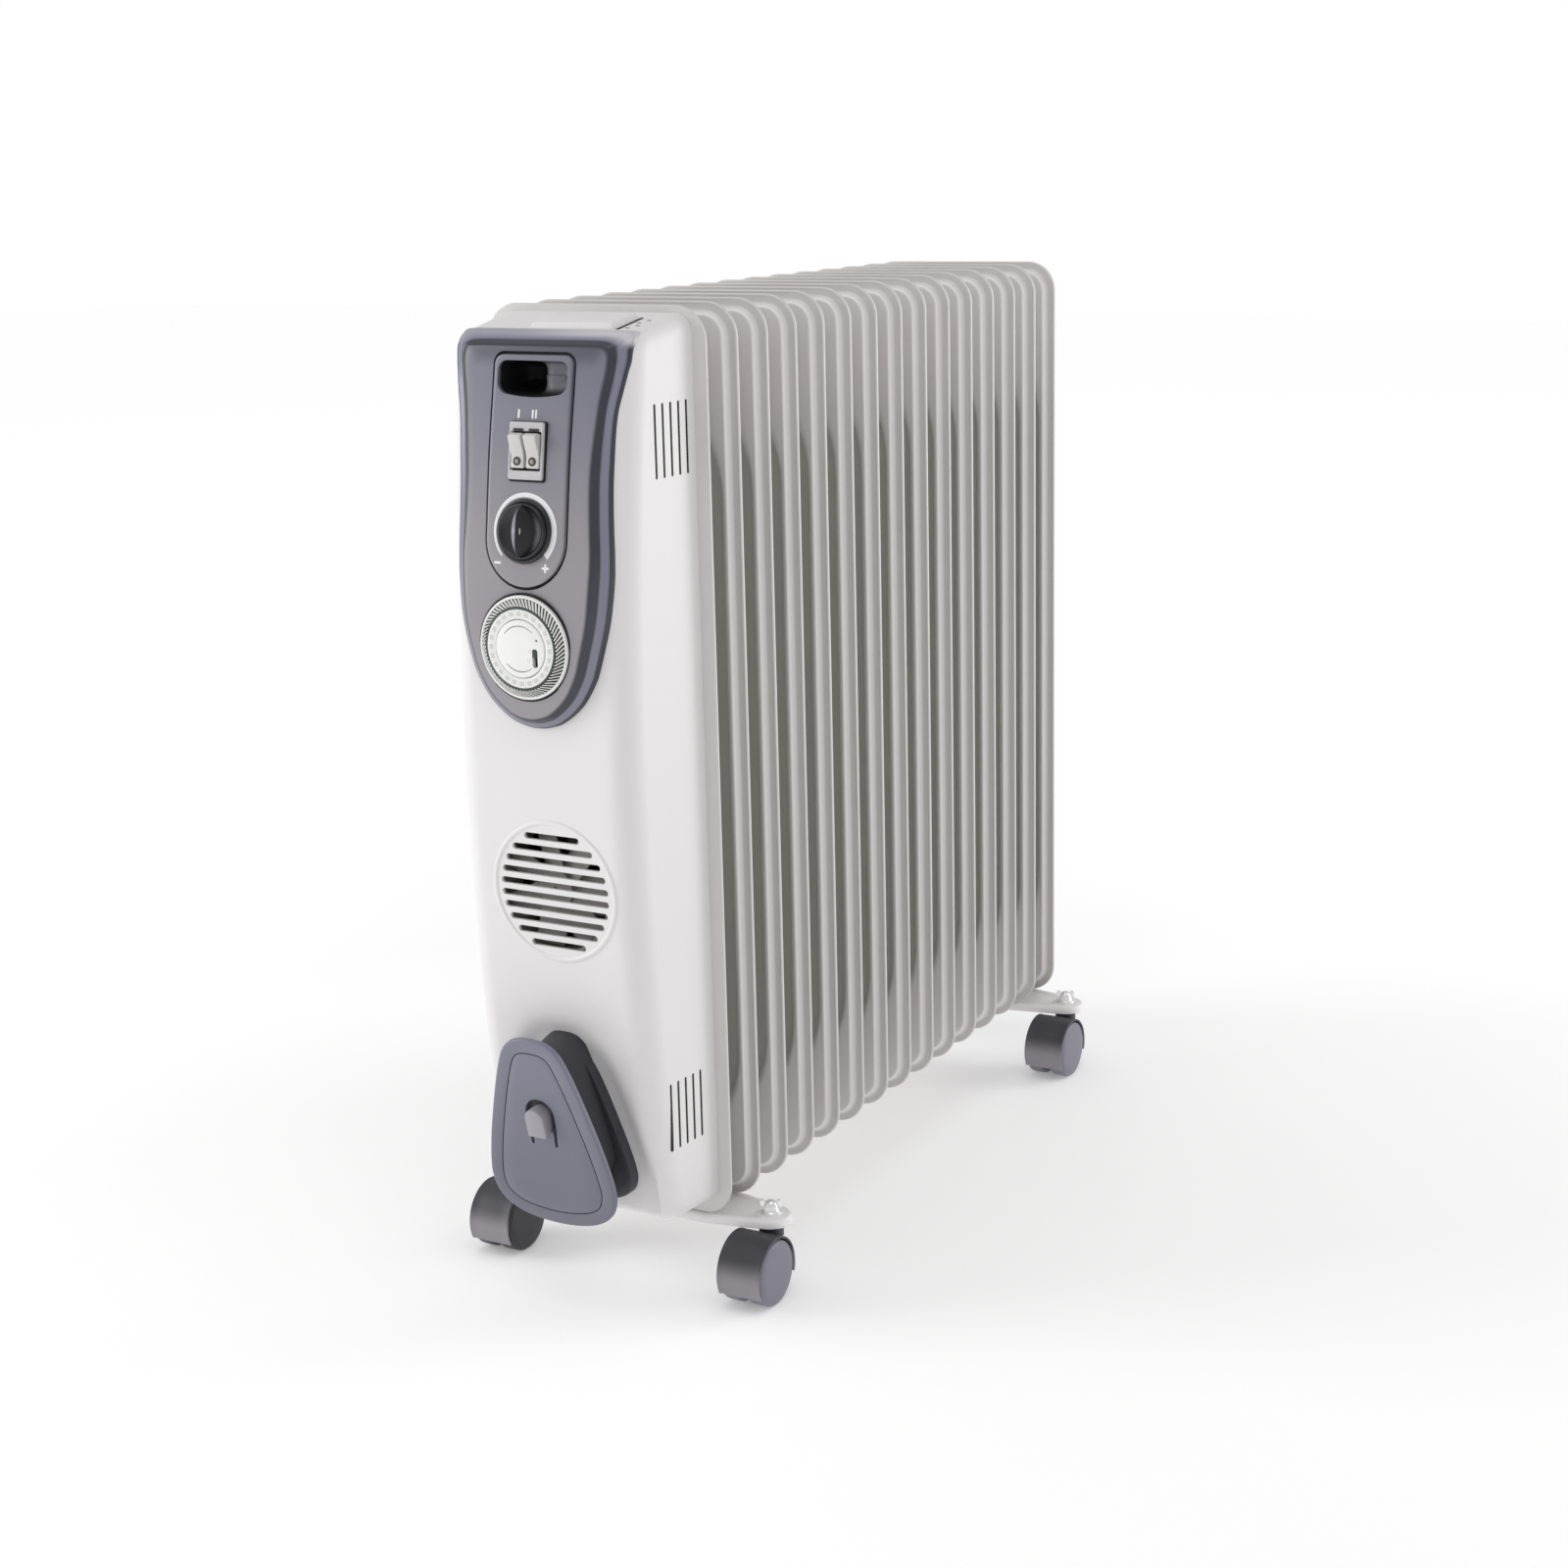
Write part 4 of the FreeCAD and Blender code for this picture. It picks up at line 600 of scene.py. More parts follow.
WALL = 2.5
outer_s, inner_s = house_surface(0.0), house_surface(WALL)
v_out, f_out = loft(outer_s, closed=False)
v_in, f_in = loft(inner_s, closed=False)
n_ring, n_pts = outer_s.shape[:2]
base = len(v_out)
bridge = []
for i in range(n_ring - 1):
    for k in (0, n_pts - 1):
        bridge.append((i * n_pts + k, (i + 1) * n_pts + k, base + (i + 1) * n_pts + k,
                       base + i * n_pts + k))
shell = (np.vstack([v_out, v_in]), f_out + [tuple(i + base for i in f) for f in f_in] + bridge)


def bar(loop, axis, low, high):
    """Closed prism of a 2-D loop along Y ('y': loop is x, z), X ('x': loop is y, z) or Z."""
    return solid([np.insert(loop, "xyz".index(axis), t, axis=1) for t in (low, high)])


def front_cut(loop):
    """Tool that cuts a 2-D loop through the upper front."""
    return bar(loop, "y", -330, -262)


def oval(rx, rz, centre, n):
    """Closed oval of n points."""
    return np.array([(centre[0] + rx * math.cos(t), centre[1] + rz * math.sin(t))
                     for t in np.arange(n) * TAU / n])


GRILLE_X, GRILLE_Z = 5.0, 298.5
tools, fillers = [], []
for k in range(10):
    dz = (k - 4.5) * 8.1
    half = max(math.sqrt(42.5 ** 2 - dz ** 2) - 0.6, 9.0)
    tools.append(bar(rounded(half, 2.2, 2.1, 5, centre=(GRILLE_X, GRILLE_Z + dz)), "y", -306, -286))
for zc, yc in ((588.5, -244.0), (143.5, -252.0)):
    for k in range(5):
        mid = yc + (k - 2) * 8.3
        loop = rounded(1.2, 23.5, 1.1, 4, centre=(mid, zc))
        tools += [bar(loop, "x", 55, 90), bar(loop, "x", -90, -55)]
        fill = rounded(1.4, 23.7, 1.2, 4, centre=(mid, zc))
        side = half_width(mid)
        fillers += [bar(fill, "x", side - 2.2, side - 0.25), bar(fill, "x", 0.25 - side, 2.2 - side)]
tools.append(front_cut(np.array([(-41, 643), (-41, 474), (-34, 452), (-22, 434), (0, 425),
                                 (22, 434), (34, 452), (41, 474), (41, 643)], float)))
tools.append(bar(rounded(8.1, 8.1, 8.1, 6, centre=(38, -246)), "z", 60, 90))
piece("control_housing_shell", shell, "heater", "housing_white", ["control_housing"],
      cut=join(*tools), angle=38)

ring_prof = [(44.4, 0.6), (44.8, -0.1), (45.3, -0.6), (46.0, -0.95), (46.9, -1.0), (47.7, -0.75),
             (48.3, -0.2), (48.8, 0.6)]
a = np.arange(120) * TAU / 120
rings = []
for r, h in ring_prof:
    x, z = GRILLE_X + r * np.cos(a), GRILLE_Z + r * np.sin(a)
    rings.append(np.column_stack([x, front_y(z) + h, z]))
piece("grille_ring", loft(rings), "heater", "housing_white", angle=60)

dark_filler("vent_dark", join(*fillers))

# raised flat cover on the roof, with a dark slit and small slots beside it, both black patches of
# painted shade


def on_roof(loop, lift):
    return np.column_stack([loop, H_TOP + roof_rise(loop[:, 1], H_TOP) + lift])


COVER_X, COVER_Y = 13.0, -248.5
cover = [(0.0, -1.0), (0.0, 0.5), (0.4, 1.0), (1.5, 3.0), (1.9, 3.5), (2.6, 3.7)]
rings = [on_roof(rounded(32 - s, 15.5 - s, max(3 - s, 0.8), 5, 1, 1, (COVER_X, COVER_Y)), h)
         for s, h in cover]
piece("roof_cover", solid(rings), "heater", "housing_white", ["top_vent_cover"],
      angle=25)
slit = rounded(1.3, 15.0, 1.0, 3, centre=(COVER_X + 34.2, COVER_Y))
dark_filler("roof_slit", solid([on_roof(slit, h) for h in (-1.0, 0.15)]))
# black patches of painted shade standing for the roof slots
for k in range(4):
    spot = rounded(1.7, 0.6, 0.5, 3, centre=(COVER_X + 39.5 + 3.5 * (k % 2), -259.5 + 6.5 * k))
    piece("roof_slot_%d" % (k + 1), solid([on_roof(spot, h) for h in (-1.0, 0.12)]), "heater",
          "inner_black")

# ------------------------------------------------------------------ fascia and control insert

CURVE = [(-280.0, 690.0), (-283.5, 657.0), (-296.3, 586.0), (-303.5, 537.0), (-310.4, 480.0),
         (-311.5, 452.0), (-310.8, 430.0), (-308.0, 400.0), (-303.0, 380.0)][::-1]
face_line = cubic([z for _, z in CURVE], [y for y, _ in CURVE])


def face_y(x, z):
    return face_line(z) + 1.1 * (np.asarray(x) / 55.0) ** 2


INSERT_RISE = 1.42
SWITCH_Z, KNOB_Z, TIMER_Z, GRIP_Z = 584.5, 535.0, 462.0, 630.0


def on_face(loop, depth=0.0):
    """A 2-D line laid on the face, sunk by depth."""
    return np.column_stack([loop[:, 0], face_y(loop[:, 0], loop[:, 1]) + depth, loop[:, 1]])


OUTLINE = [  # rim and edge of the plateau, from the top centre down the right side
    (0.0, 657.6, 0.0, 646.6), (18.0, 657.6, 16.0, 646.6), (34.0, 657.6, 30.0, 646.6),
    (48.0, 657.6, 42.0, 646.5), (57.0, 657.5, 48.5, 646.2), (62.5, 656.9, 51.8, 645.4),
    (65.4, 654.8, 53.5, 643.6), (66.3, 650.8, 54.1, 640.8), (66.4, 645.5, 54.0, 637.0),
    (66.0, 639.0, 53.4, 632.0), (64.8, 633.0, 52.5, 627.0), (62.6, 621.2, 51.0, 619.0),
    (60.3, 609.4, 49.8, 608.6), (59.2, 597.6, 48.8, 597.4), (58.6, 579.7, 47.2, 580.0),
    (58.2, 561.7, 46.7, 562.0), (58.6, 537.7, 47.8, 538.0), (59.2, 519.5, 49.0, 520.0),
    (58.8, 501.2, 48.4, 502.5), (55.9, 476.7, 46.6, 479.0), (49.5, 451.5, 41.5, 457.0),
    (44.2, 438.2, 37.5, 445.0), (34.4, 423.8, 29.5, 431.8), (20.6, 412.8, 17.5, 421.2),
    (9.0, 408.6, 7.6, 417.2), (0.0, 407.6, 0.0, 416.3)]
rim = mirrored([row[:2] for row in OUTLINE])
core = mirrored([(x - 2.6 * float(step(655, 640, z)) * min(x / 40, 1) if x else 0.0, z)
                 for x, z in (row[2:] for row in OUTLINE)])
FACE_DROP = 13.0


def house_front(x, z):
    """Y of the bare front of the housing, with its round corners and roof edge."""
    z = np.minimum(np.asarray(z, float), H_TOP)
    over = np.maximum(z - (H_TOP - H_TOP_R), 0)
    back = H_TOP_R - np.sqrt(np.maximum(H_TOP_R ** 2 - over ** 2, 0))
    edge = half_width(front_y(z) + H_CORNER) - H_CORNER
    side = np.clip(np.abs(x) - edge, 0, H_CORNER - 0.01)
    return front_y(z) + back + H_CORNER - np.sqrt(H_CORNER ** 2 - side ** 2)


drop = np.clip(house_front(rim[:, 0], rim[:, 1]) - 0.4 - face_y(rim[:, 0], rim[:, 1]), 4.5,
               FACE_DROP)
profile = [(0.0, None), (0.0, 1.0), (0.03, 0.88), (0.07, 0.77), (0.11, 0.705), (0.16, 0.67),
           (0.26, 0.61), (0.38, 0.54), (0.47, 0.475), (0.53, 0.41), (0.59, 0.32), (0.65, 0.225),
           (0.71, 0.14), (0.77, 0.075), (0.83, 0.035), (0.91, 0.01), (1.0, 0.0)]
FACE_SPINE, TONGUE_SPINE = (450.0, 628.0), (530, 612)


def toward_spine(loop, f, spine):
    """The loop drawn in towards the upright line between two heights."""
    z = loop[:, 1] + (np.clip(loop[:, 1], *spine) - loop[:, 1]) * f
    return np.column_stack([loop[:, 0] * (1 - f), z])


rings = [on_face(toward_spine(core, f, FACE_SPINE), 14.5)
         for f in (1.0, 0.85, 0.6, 0.35, 0.15, 0.0)]
for s, t in profile:
    loop = rim + (core - rim) * s
    if t is None:
        y = np.maximum(house_front(rim[:, 0], rim[:, 1]) + 1.5,
                       face_y(rim[:, 0], rim[:, 1]) + drop + 0.6)
    else:
        y = face_y(loop[:, 0], loop[:, 1]) + t * drop
        if s > 0.02:
            y = np.minimum(y, house_front(loop[:, 0], loop[:, 1]) - 0.45)
    rings.append(np.column_stack([loop[:, 0], y, loop[:, 1]]))
rings += [on_face(toward_spine(core, f, FACE_SPINE))
          for f in (0.06, 0.15, 0.27, 0.4, 0.55, 0.7, 0.85, 1.0)]


def tongue(s=0.0):
    """Outline with a nearly square top and a half-round bottom."""
    hw, top, c, r = 29.5 - s, 643.0 - s, 529.5, max(6.0 - s, 0.4)
    pts = [(hw * math.cos(t), c + hw * math.sin(t)) for t in np.linspace(-math.pi, 0, 33)]
    pts += [(hw, z) for z in np.linspace(c, top - r, 24)[1:-1]]
    pts += [(hw - r + r * math.cos(t), top - r + r * math.sin(t))
            for t in np.linspace(0, math.pi / 2, 7)]
    pts += [(x, top) for x in np.linspace(hw - r, r - hw, 12)[1:-1]]
    pts += [(r - hw - r * math.sin(t), top - r + r * math.cos(t))
            for t in np.linspace(0, math.pi / 2, 7)]
    pts += [(-hw, z) for z in np.linspace(top - r, c, 24)[1:-1]]
    return np.array(pts)


def grip(s=0.0):
    """Outline of the hand grip, with a bowed lower edge."""
    loop = rounded(26.5 - s, 9.5 - s, max(6 - s, 1), 7, 14, 3, centre=(0, GRIP_Z))
    low = loop[:, 1] < GRIP_Z
    loop[low, 1] -= 3.4 * (1 - (loop[low, 0] / 27.5) ** 2)
    return loop


fascia_cuts = join(front_cut(tongue(-1.9)), front_cut(oval(34.5, 34.5, (0, TIMER_Z), 96)))
me = raw_mesh("fascia_mesh", loft(rings))
obj = piece("fascia_panel", me, "heater", "fascia_grey", ["fascia"], cut=fascia_cuts, angle=34)


def reach(points, loop):
    """Distance of each 2-D point to a closed line of close points."""
    line = resample(loop, 900)
    out = np.empty(len(points))
    for i in range(0, len(points), 2000):
        seg = line[None] - points[i:i + 2000, None]
        out[i:i + 2000] = np.hypot(seg[..., 0], seg[..., 1]).min(1)
    return out


def paint_bands(obj):
    """Painted shade on the steep shoulder, painted light on the flange and a painted highlight on the
    moulding's top lip.
    """
    co = points_of(obj.data)
    flat = co[:, [0, 2]]
    to_rim, to_core = reach(flat, rim), reach(flat, core)
    inside = (to_rim > 7.0) & (co[:, 1] < face_y(co[:, 0], co[:, 2]) + 0.05)
    p = np.where(inside, 1.0, to_rim / (to_rim + to_core + 1e-6))
    x, z = co[:, 0], co[:, 2]
    top = step(640, 651, z) * (1 - step(54, 63, np.abs(x)))
    ridge = step(646, 653, z)
    side = np.maximum((1 - step(0.10, 0.22, p)) * (1 - ridge),
                      step(0.42, 0.54, p) * (1 - step(0.82, 1.0, p)))
    brow = step(0.36, 0.56, p) * (1 - 0.3 * step(0.8, 1.0, p))
    fall = 0.62 * (p >= 0.999) * step(632, 646, z) * (1 - step(44, 52, np.abs(x)))
    lip = 1 - step(0.42, 0.6, p)
    # painted shade on the shoulder and on the plateau under the top rim, painted light on the flange,
    # a painted highlight on the top lip
    paint(obj.data, shade=np.maximum(side * (1 - top) + brow * top, fall),
          lip=lip * (1 - side * (1 - top)),
          glow=ridge * (1 - step(0.16, 0.5, p)) * (0.35 + 0.65 * step(-40, 60, x)))


paint_bands(obj)

rings = [on_face(toward_spine(tongue(), f, TONGUE_SPINE), 3.4) for f in (1.0, 0.7, 0.4, 0.0)]
rings += [on_face(tongue(s), -w)
          for s, w in ((0.0, 0.5), (0.12, 0.95), (0.4, 1.3), (0.9, INSERT_RISE))]
rings += [on_face(toward_spine(tongue(0.9), f, TONGUE_SPINE), -INSERT_RISE)
          for f in (0.05, 0.2, 0.4, 0.6, 0.8, 1.0)]
piece("control_insert_panel", loft(rings), "heater", "fascia_grey", ["control_insert"], angle=40,
      cut=join(front_cut(grip(0.0)), front_cut(rounded(12.2, 14.3, 1, 3, centre=(0, SWITCH_Z)))))

gap_rings = [on_face(tongue(s), depth)
             for s, depth in ((-3.0, 3.0), (-3.0, 1.6), (0.6, 1.6), (0.6, 3.0))]
dark_filler("insert_gap", loft(gap_rings, wrap=True))

# recessed grip
rings = []
back_y = -258.0
for s, y in ((-1.8, None), (-1.8, back_y + 1.8), (6.0, back_y + 1.9)):
    loop = grip(s)
    yy = face_y(loop[:, 0], loop[:, 1]) + 3.6 if y is None else np.full(len(loop), y)
    rings.append(np.column_stack([loop[:, 0], yy, loop[:, 1]]))
inner = []
for s, y in ((0.0, None), (0.3, -286.0), (1.0, -274.0), (2.4, -264.0), (4.6, -260.2),
             (6.6, back_y)):
    loop = grip(s)
    edge = face_y(loop[:, 0], loop[:, 1]) + 1.4
    deep = 1 - 0.8 * step(-15, 11, loop[:, 0])
    yy = edge if y is None else edge + (y - edge) * deep
    inner.append(np.column_stack([loop[:, 0], yy, loop[:, 1]]))
for f in (0.4, 0.8, 0.98):
    loop = grip(6.6)
    inner.append(np.column_stack([loop[:, 0], inner[5][:, 1],
                                  GRIP_Z + (loop[:, 1] - GRIP_Z) * (1 - f)]))
obj = piece("grip_recess", solid(rings[::-1] + inner), "heater", "cup_dark",
            ["grip_cup"], angle=40, material=CUP)
co = points_of(obj.data)
# painted light on the right wall of the grip recess, the rest painted shade
paint(obj.data, light=step(-12, 8, co[:, 0]) * step(618, 624, co[:, 2]))

TILT = math.degrees(math.atan2(303.5 - 296.3, 586.0 - 537.0))


def plate(loop_of, levels, m):
    """Stack of outlines loop_of(inset) at heights, placed by matrix m."""
    return move(solid([level_ring(loop_of(s), w) for s, w in levels]), m)


def on_insert(points, lift=0.0):
    """2-D loop wrapped on the face of the insert."""
    return on_face(np.asarray(points, float), -INSERT_RISE - lift)


def mark(name, loop):
    """Thin printed mark on the insert."""
    piece(name, solid([on_insert(loop, -0.25), on_insert(loop, 0.06)]),
          "heater", "dial_white", material=MARK)


def stroke(cx, cz, hw, hh, r=0.35):
    return rounded(hw, hh, r, 3, centre=(cx, cz))


mark("mark_one", stroke(-8.4, 607.0, 0.7, 2.7))
mark("mark_two_a", stroke(2.2, 607.0, 0.62, 2.7))
mark("mark_two_b", stroke(4.7, 607.0, 0.62, 2.7))
mark("mark_minus", stroke(-20.2, 514.6, 2.5, 0.75))
mark("mark_plus_a", stroke(16.4, 512.8, 2.7, 0.7))
mark("mark_plus_b", stroke(16.4, 512.8, 0.7, 2.7))
t = np.radians(np.linspace(223, -43, 110))
f = np.linspace(0, 1, 110)
outer_r = 23.7 + 0.5 * f
inner_r = outer_r - (1.1 + 3.1 * f ** 0.8)
rings = []
for angle, *radii in zip(t, inner_r, outer_r):
    strip = [(r * math.cos(angle), KNOB_Z + r * math.sin(angle)) for r in radii]
    low, high = on_insert(strip, -0.25), on_insert(strip, 0.06)
    rings.append(np.array([low[0], high[0], high[1], low[1]]))
piece("mark_scale", solid(rings), "heater", "dial_white", material=MARK)

# ------------------------------------------------------------------ switches

BEZEL = facing((0, -298.3, SWITCH_Z), TILT)
frame_rings = [level_ring(rounded(13 - s, 18 - s, 1.4, 4), w)
               for s, w in ((0, -1.6), (0, 1.5), (0.25, 2.0), (0.7, 2.2))]
frame_rings += [level_ring(rounded(11.35 + s, 12.15 + s, 0.9, 4, centre=(0, -0.1)), w)
                for s, w in ((0.5, 2.2), (0.15, 2.0), (0.0, 1.6), (0.0, -1.6))]
piece("bezel_frame", move(loft(frame_rings, wrap=True), BEZEL), "heater", "switch_grey",
      ["switch_bezel"], angle=30)
edge = [level_ring(rounded(13.9 - q, 18.9 - q, 1.8, 4, centre=(0.5, -0.4)), w)
        for q, w in ((0, -0.6), (0, 0.35), (1.6, 0.35), (1.6, -0.6))]
dark_filler("bezel_gap", move(loft(edge, wrap=True), BEZEL))
dark_filler("bezel_floor", plate(lambda s: rounded(11.9, 12.7, 1, 3), ((0, -2.6), (0, -2.0)), BEZEL))
# black strips of painted shade standing for two slots in the bezel
slotbar = [plate(lambda s, c=c: rounded(3.9, 0.85, 0.3, 2, centre=(c, 13.0)),
                 ((0, 1.9), (0, 2.26)), BEZEL) for c in (-5.9, 5.9)]
piece("bezel_slots", join(*slotbar), "heater", "inner_black")
for k, sx in ((1, -1), (2, 1)):
    side = [(-4.0, -8.6), (-4.0, 8.6), (2.2, 10.7), (5.0, 10.9), (7.2, 9.6), (7.7, 8.2),
            (6.2, 4.6), (4.2, 0.6), (2.7, -3.4), (2.6, -7.0), (2.9, -10.0), (1.8, -11.0)]
    rings = [np.array([(x, v, w) for w, v in side]) for x in (-4.7, 4.7)]
    body = "rocker_%d" % k
    part = move(solid(rings), BEZEL @ at(sx * 5.75))
    piece("rocker_%d_cap" % k, part, body, "rocker_grey", [body], bevel=0.55, angle=45,
          bevel_angle=38)
    ringp = move(lathe([(1.6, 2.2), (1.65, 3.0), (2.7, 3.05), (2.9, 2.2)], 32, False, False),
                 BEZEL @ at(sx * 5.75, -6.6))
    piece("rocker_%d_ring" % k, ringp, body, "inner_black", angle=40)
    dome = move(lathe([(1.72, 2.2), (1.7, 2.9), (1.4, 3.25), (0.8, 3.45), (0.2, 3.52)], 32),
                BEZEL @ at(sx * 5.75, -6.6))
    piece("rocker_%d_lens" % k, dome, body, "lens_amber", ["rocker_lens_%d" % k], angle=60)

# ------------------------------------------------------------------ thermostat knob

KNOB = facing((0, -305.6, KNOB_Z), TILT)
skirt = lathe([(19.6, -1.2), (20.3, -0.6), (20.4, 0.9), (20.1, 1.7), (19.5, 2.1), (18.5, 2.1),
               (18.1, 1.7), (17.8, 2.0), (17.6, 3.4), (17.3, 4.0), (16.8, 4.25), (16.3, 4.1),
               (15.9, 3.6), (14.5, 3.0), (11, 2.3), (6, 1.9), (0.5, 1.8)], 96)
rings = []
for r in np.linspace(-1, 1, 41):
    wide = 9.2 * max(1 - r * r, 0) ** 0.62 + 0.3
    tall = 9.0 * (1 - abs(r) ** 5) ** 0.5
    ring = []
    for c in np.linspace(-1, 1, 25):
        slope = (1 - abs(c)) ** 0.92
        ring.append((c * wide, r * 16.6, 1.2 + min(tall * slope, tall - 0.35 * math.exp(-abs(c) * 9))))
    rings.append(ring)
ridge = loft(rings, closed=False)
piece("knob_dome", move(skirt, KNOB), "knob", "knob_dark", ["thermostat_knob"], angle=50)
obj = piece("knob_ridge", move(ridge, KNOB), "knob", "knob_dark", angle=28, material=RIDGE)
local = move((points_of(obj.data), []), np.linalg.inv(KNOB))[0]
wide = 9.2 * np.maximum(1 - (local[:, 1] / 16.6) ** 2, 0.02) ** 0.62 + 0.3
q = local[:, 0] / wide
# painted highlight on the ridge's left facet
paint(obj.data, sheen=step(-0.98, -0.7, q) * (1 - step(-0.35, 0.08, q)))

# ------------------------------------------------------------------ timer

TIMER = facing((0, -311.5, TIMER_Z))
TEETH = 72
dial_prof = [(31.0, -2.0), (33.2, -1.9), (33.5, 0.0), (33.3, 0.9), (32.8, 1.35), (32.1, 1.45),
             (31.7, 1.2), (31.5, 0.6), (31.3, 0.2), (25.9, 0.2), (25.9, 3.9), (25.6, 4.35),
             (25.0, 4.55), (19.9, 4.55), (19.3, 4.4), (19.0, 3.9), (18.95, 0.0), (4.2, -0.4),
             (4.2, -2.0)]
piece("timer_disc", move(lathe(dial_prof, 120, False, False), TIMER), "dial", "dial_white",
      ["timer_dial"], angle=32)
ring = lathe([(25.2, 4.0), (25.2, 4.64), (26.45, 4.5), (26.45, 3.6)], 96, False, False)
piece("timer_ring", move(ring, TIMER), "dial", "dial_white", material=INK)
gap_ring = lathe([(33.5, -1.2), (34.9, -1.2), (34.9, -0.6), (33.5, -0.6)], 96, False, False)
dark_filler("timer_gap", move(gap_ring, TIMER))
piece("timer_cone", move(lathe([(31.4, 0.2), (31.3, 0.75), (26.9, 3.5), (26.3, 3.5), (26.3, 0.2)],
                               96, False, False), TIMER), "dial", "dial_white", angle=30,
      material=GREEN)
teeth = []
for k in range(TEETH):
    prof = [(26.75, 3.2), (26.9, 4.3), (27.6, 4.45), (31.1, 1.75), (31.5, 0.9), (31.3, 0.3)]
    w0 = [0.50, 0.50, 0.54, 0.58, 0.64, 0.66]
    rings = []
    for (r, h), w in zip(prof, w0):
        lean = (r - 26.7) * 0.035
        rings.append([(r * math.cos(lean) - u * math.sin(lean), r * math.sin(lean) + u, hh)
                      for u, hh in ((-w, h - 0.9), (-w * 0.75, h), (w * 0.75, h), (w, h - 0.9))])
    teeth.append(move(solid(rings), TIMER @ at(turn=360 * k / TEETH)))
piece("timer_teeth", join(*teeth), "dial", "dial_white", ["timer_tooth_ring"], angle=30)
squares, ticks = [], []
for k in range(24):
    m = TIMER @ at(turn=15 * k)
    loop = rounded(1.5, 1.75, 0.5, 2, centre=(22.4, 0))
    squares.append(plate(lambda s: loop, ((0, 4.3), (0, 4.62)), m))
    ticks.append(plate(lambda s: rounded(2.7, 0.16, 0.1, 2, centre=(22.5, 2.93)),
                       ((0, 4.3), (0, 4.6)), m))
piece("timer_squares", join(*squares), "dial", "dial_white", material=SQUARE)
piece("timer_ticks", join(*ticks), "dial", "dial_white", material=SQUARE)

disc = oval(1.0, 1.0, (0, 0), 96)
face = plate(lambda s: disc * (18.5 - s), ((0, 1.0), (0, 4.3), (0.25, 4.75), (0.8, 4.9)), TIMER)
slot_loop = rounded(2, 6, 1.6, 5, centre=(11.2, -5.4))
piece("timer_plate", face, "heater", "dial_white", ["timer_face"], angle=30,
      cut=plate(lambda s: slot_loop, ((0, 1.6), (0, 8)), TIMER))
piece("timer_slot_floor", plate(lambda s: rounded(2.2, 6.2, 1.6, 5, centre=(11.2, -5.4)),
                                ((0, 0.9), (0, 1.7)), TIMER), "heater", "inner_black")
slider = plate(lambda s: rounded(1.75 - s, 2.4 - s, 0.7, 4, centre=(11.2, -2.4)),
               ((0, 1.75), (0, 5.0), (0.3, 5.5), (0.8, 5.65)), TIMER)
piece("timer_slider_cap", slider, "slider", "slider_dark", ["timer_slider"], angle=35)


def dial_mark(name, start, end, radius, width=0.55, steps=40):
    t = np.radians(np.linspace(start, end, steps))
    taper = np.sin(np.linspace(0.12, 1, steps) * math.pi * 0.93 + 0.1)
    half_w = width * (0.35 + 0.65 * taper) / 2
    rings = [[(r * math.cos(u), r * math.sin(u), h) for r, h in
              ((radius - w, 4.7), (radius - w, 4.95), (radius + w, 4.95), (radius + w, 4.7))]
             for u, w in zip(t, half_w)]
    piece(name, move(solid(rings), TIMER), "heater", "slider_dark", material=INK)


dial_mark("dial_arc_top", 142, 48, 14.6)
dial_mark("dial_arc_low", 224, 306, 14.6)
piece("dial_dot", move(lathe([(0.75, 4.7), (0.75, 4.95), (0.3, 4.97)], 20),
                       TIMER @ at(14.2 * math.cos(0.45), 14.2 * math.sin(0.45))),
      "heater", "slider_dark", material=INK)
for k, (u, v) in enumerate(((7.4, -1.0), (6.4, -7.0))):
    piece("dial_sign_%d" % (k + 1), move(lathe([(0.65, 4.8), (0.65, 4.95), (1.0, 4.95),
                                                (1.0, 4.8)], 20, False, False),
                                         TIMER @ at(u, v)), "heater", "dial_white", material=SQUARE)

# ------------------------------------------------------------------ cord wrap

WRAP = facing((0, -330.0, 206.0), -11.0)
grow = np.clip(-EGG_LOOP[:, 1] / 131.5, 0, 1)
PLATE_LOOP = EGG_LOOP - np.column_stack([np.zeros(120), 7.0 * grow ** 3])
bulge = np.maximum(1 - (EGG_LOOP[:, 0] / 44.0) ** 2, 0) * step(0.8, 1.0, grow)
PLATE_LOOP[:, 1] -= 2.0 * bulge


def egg_fill(f, w, s):
    """The plate's outline at height w, drawn in towards its own middle line."""
    loop = inset(PLATE_LOOP, s)
    middle = np.column_stack([np.zeros(len(loop)), np.clip(loop[:, 1], -108, -42)])
    return level_ring(loop + (middle - loop) * f, w)


rings = [egg_fill(f, -4.0, 0.4) for f in (1.0, 0.5)]
rings += [level_ring(inset(PLATE_LOOP, s), w)
          for s, w in ((0.4, -4.0), (0.0, -3.6), (0.0, -1.5), (0.25, -0.7), (0.9, -0.15),
                       (1.8, 0.0), (9.3, 0.0), (9.6, -0.15), (9.75, -0.9), (10.25, -0.9),
                       (10.4, -0.15), (10.7, 0.0))]
rings += [egg_fill(f, 0.0, 10.7) for f in (0.25, 0.6, 1.0)]
cut_loop = [(11.4 * math.cos(t), -56 + 11.8 * math.sin(t)) for t in np.linspace(0, math.pi, 25)]
cut_loop += [(-11.4, -66), (-10.2, -79), (-8.2, -79), (-8.2, -67), (8.2, -67), (8.2, -79),
             (10.2, -79), (11.4, -66)]
cut_loop = np.array(cut_loop)
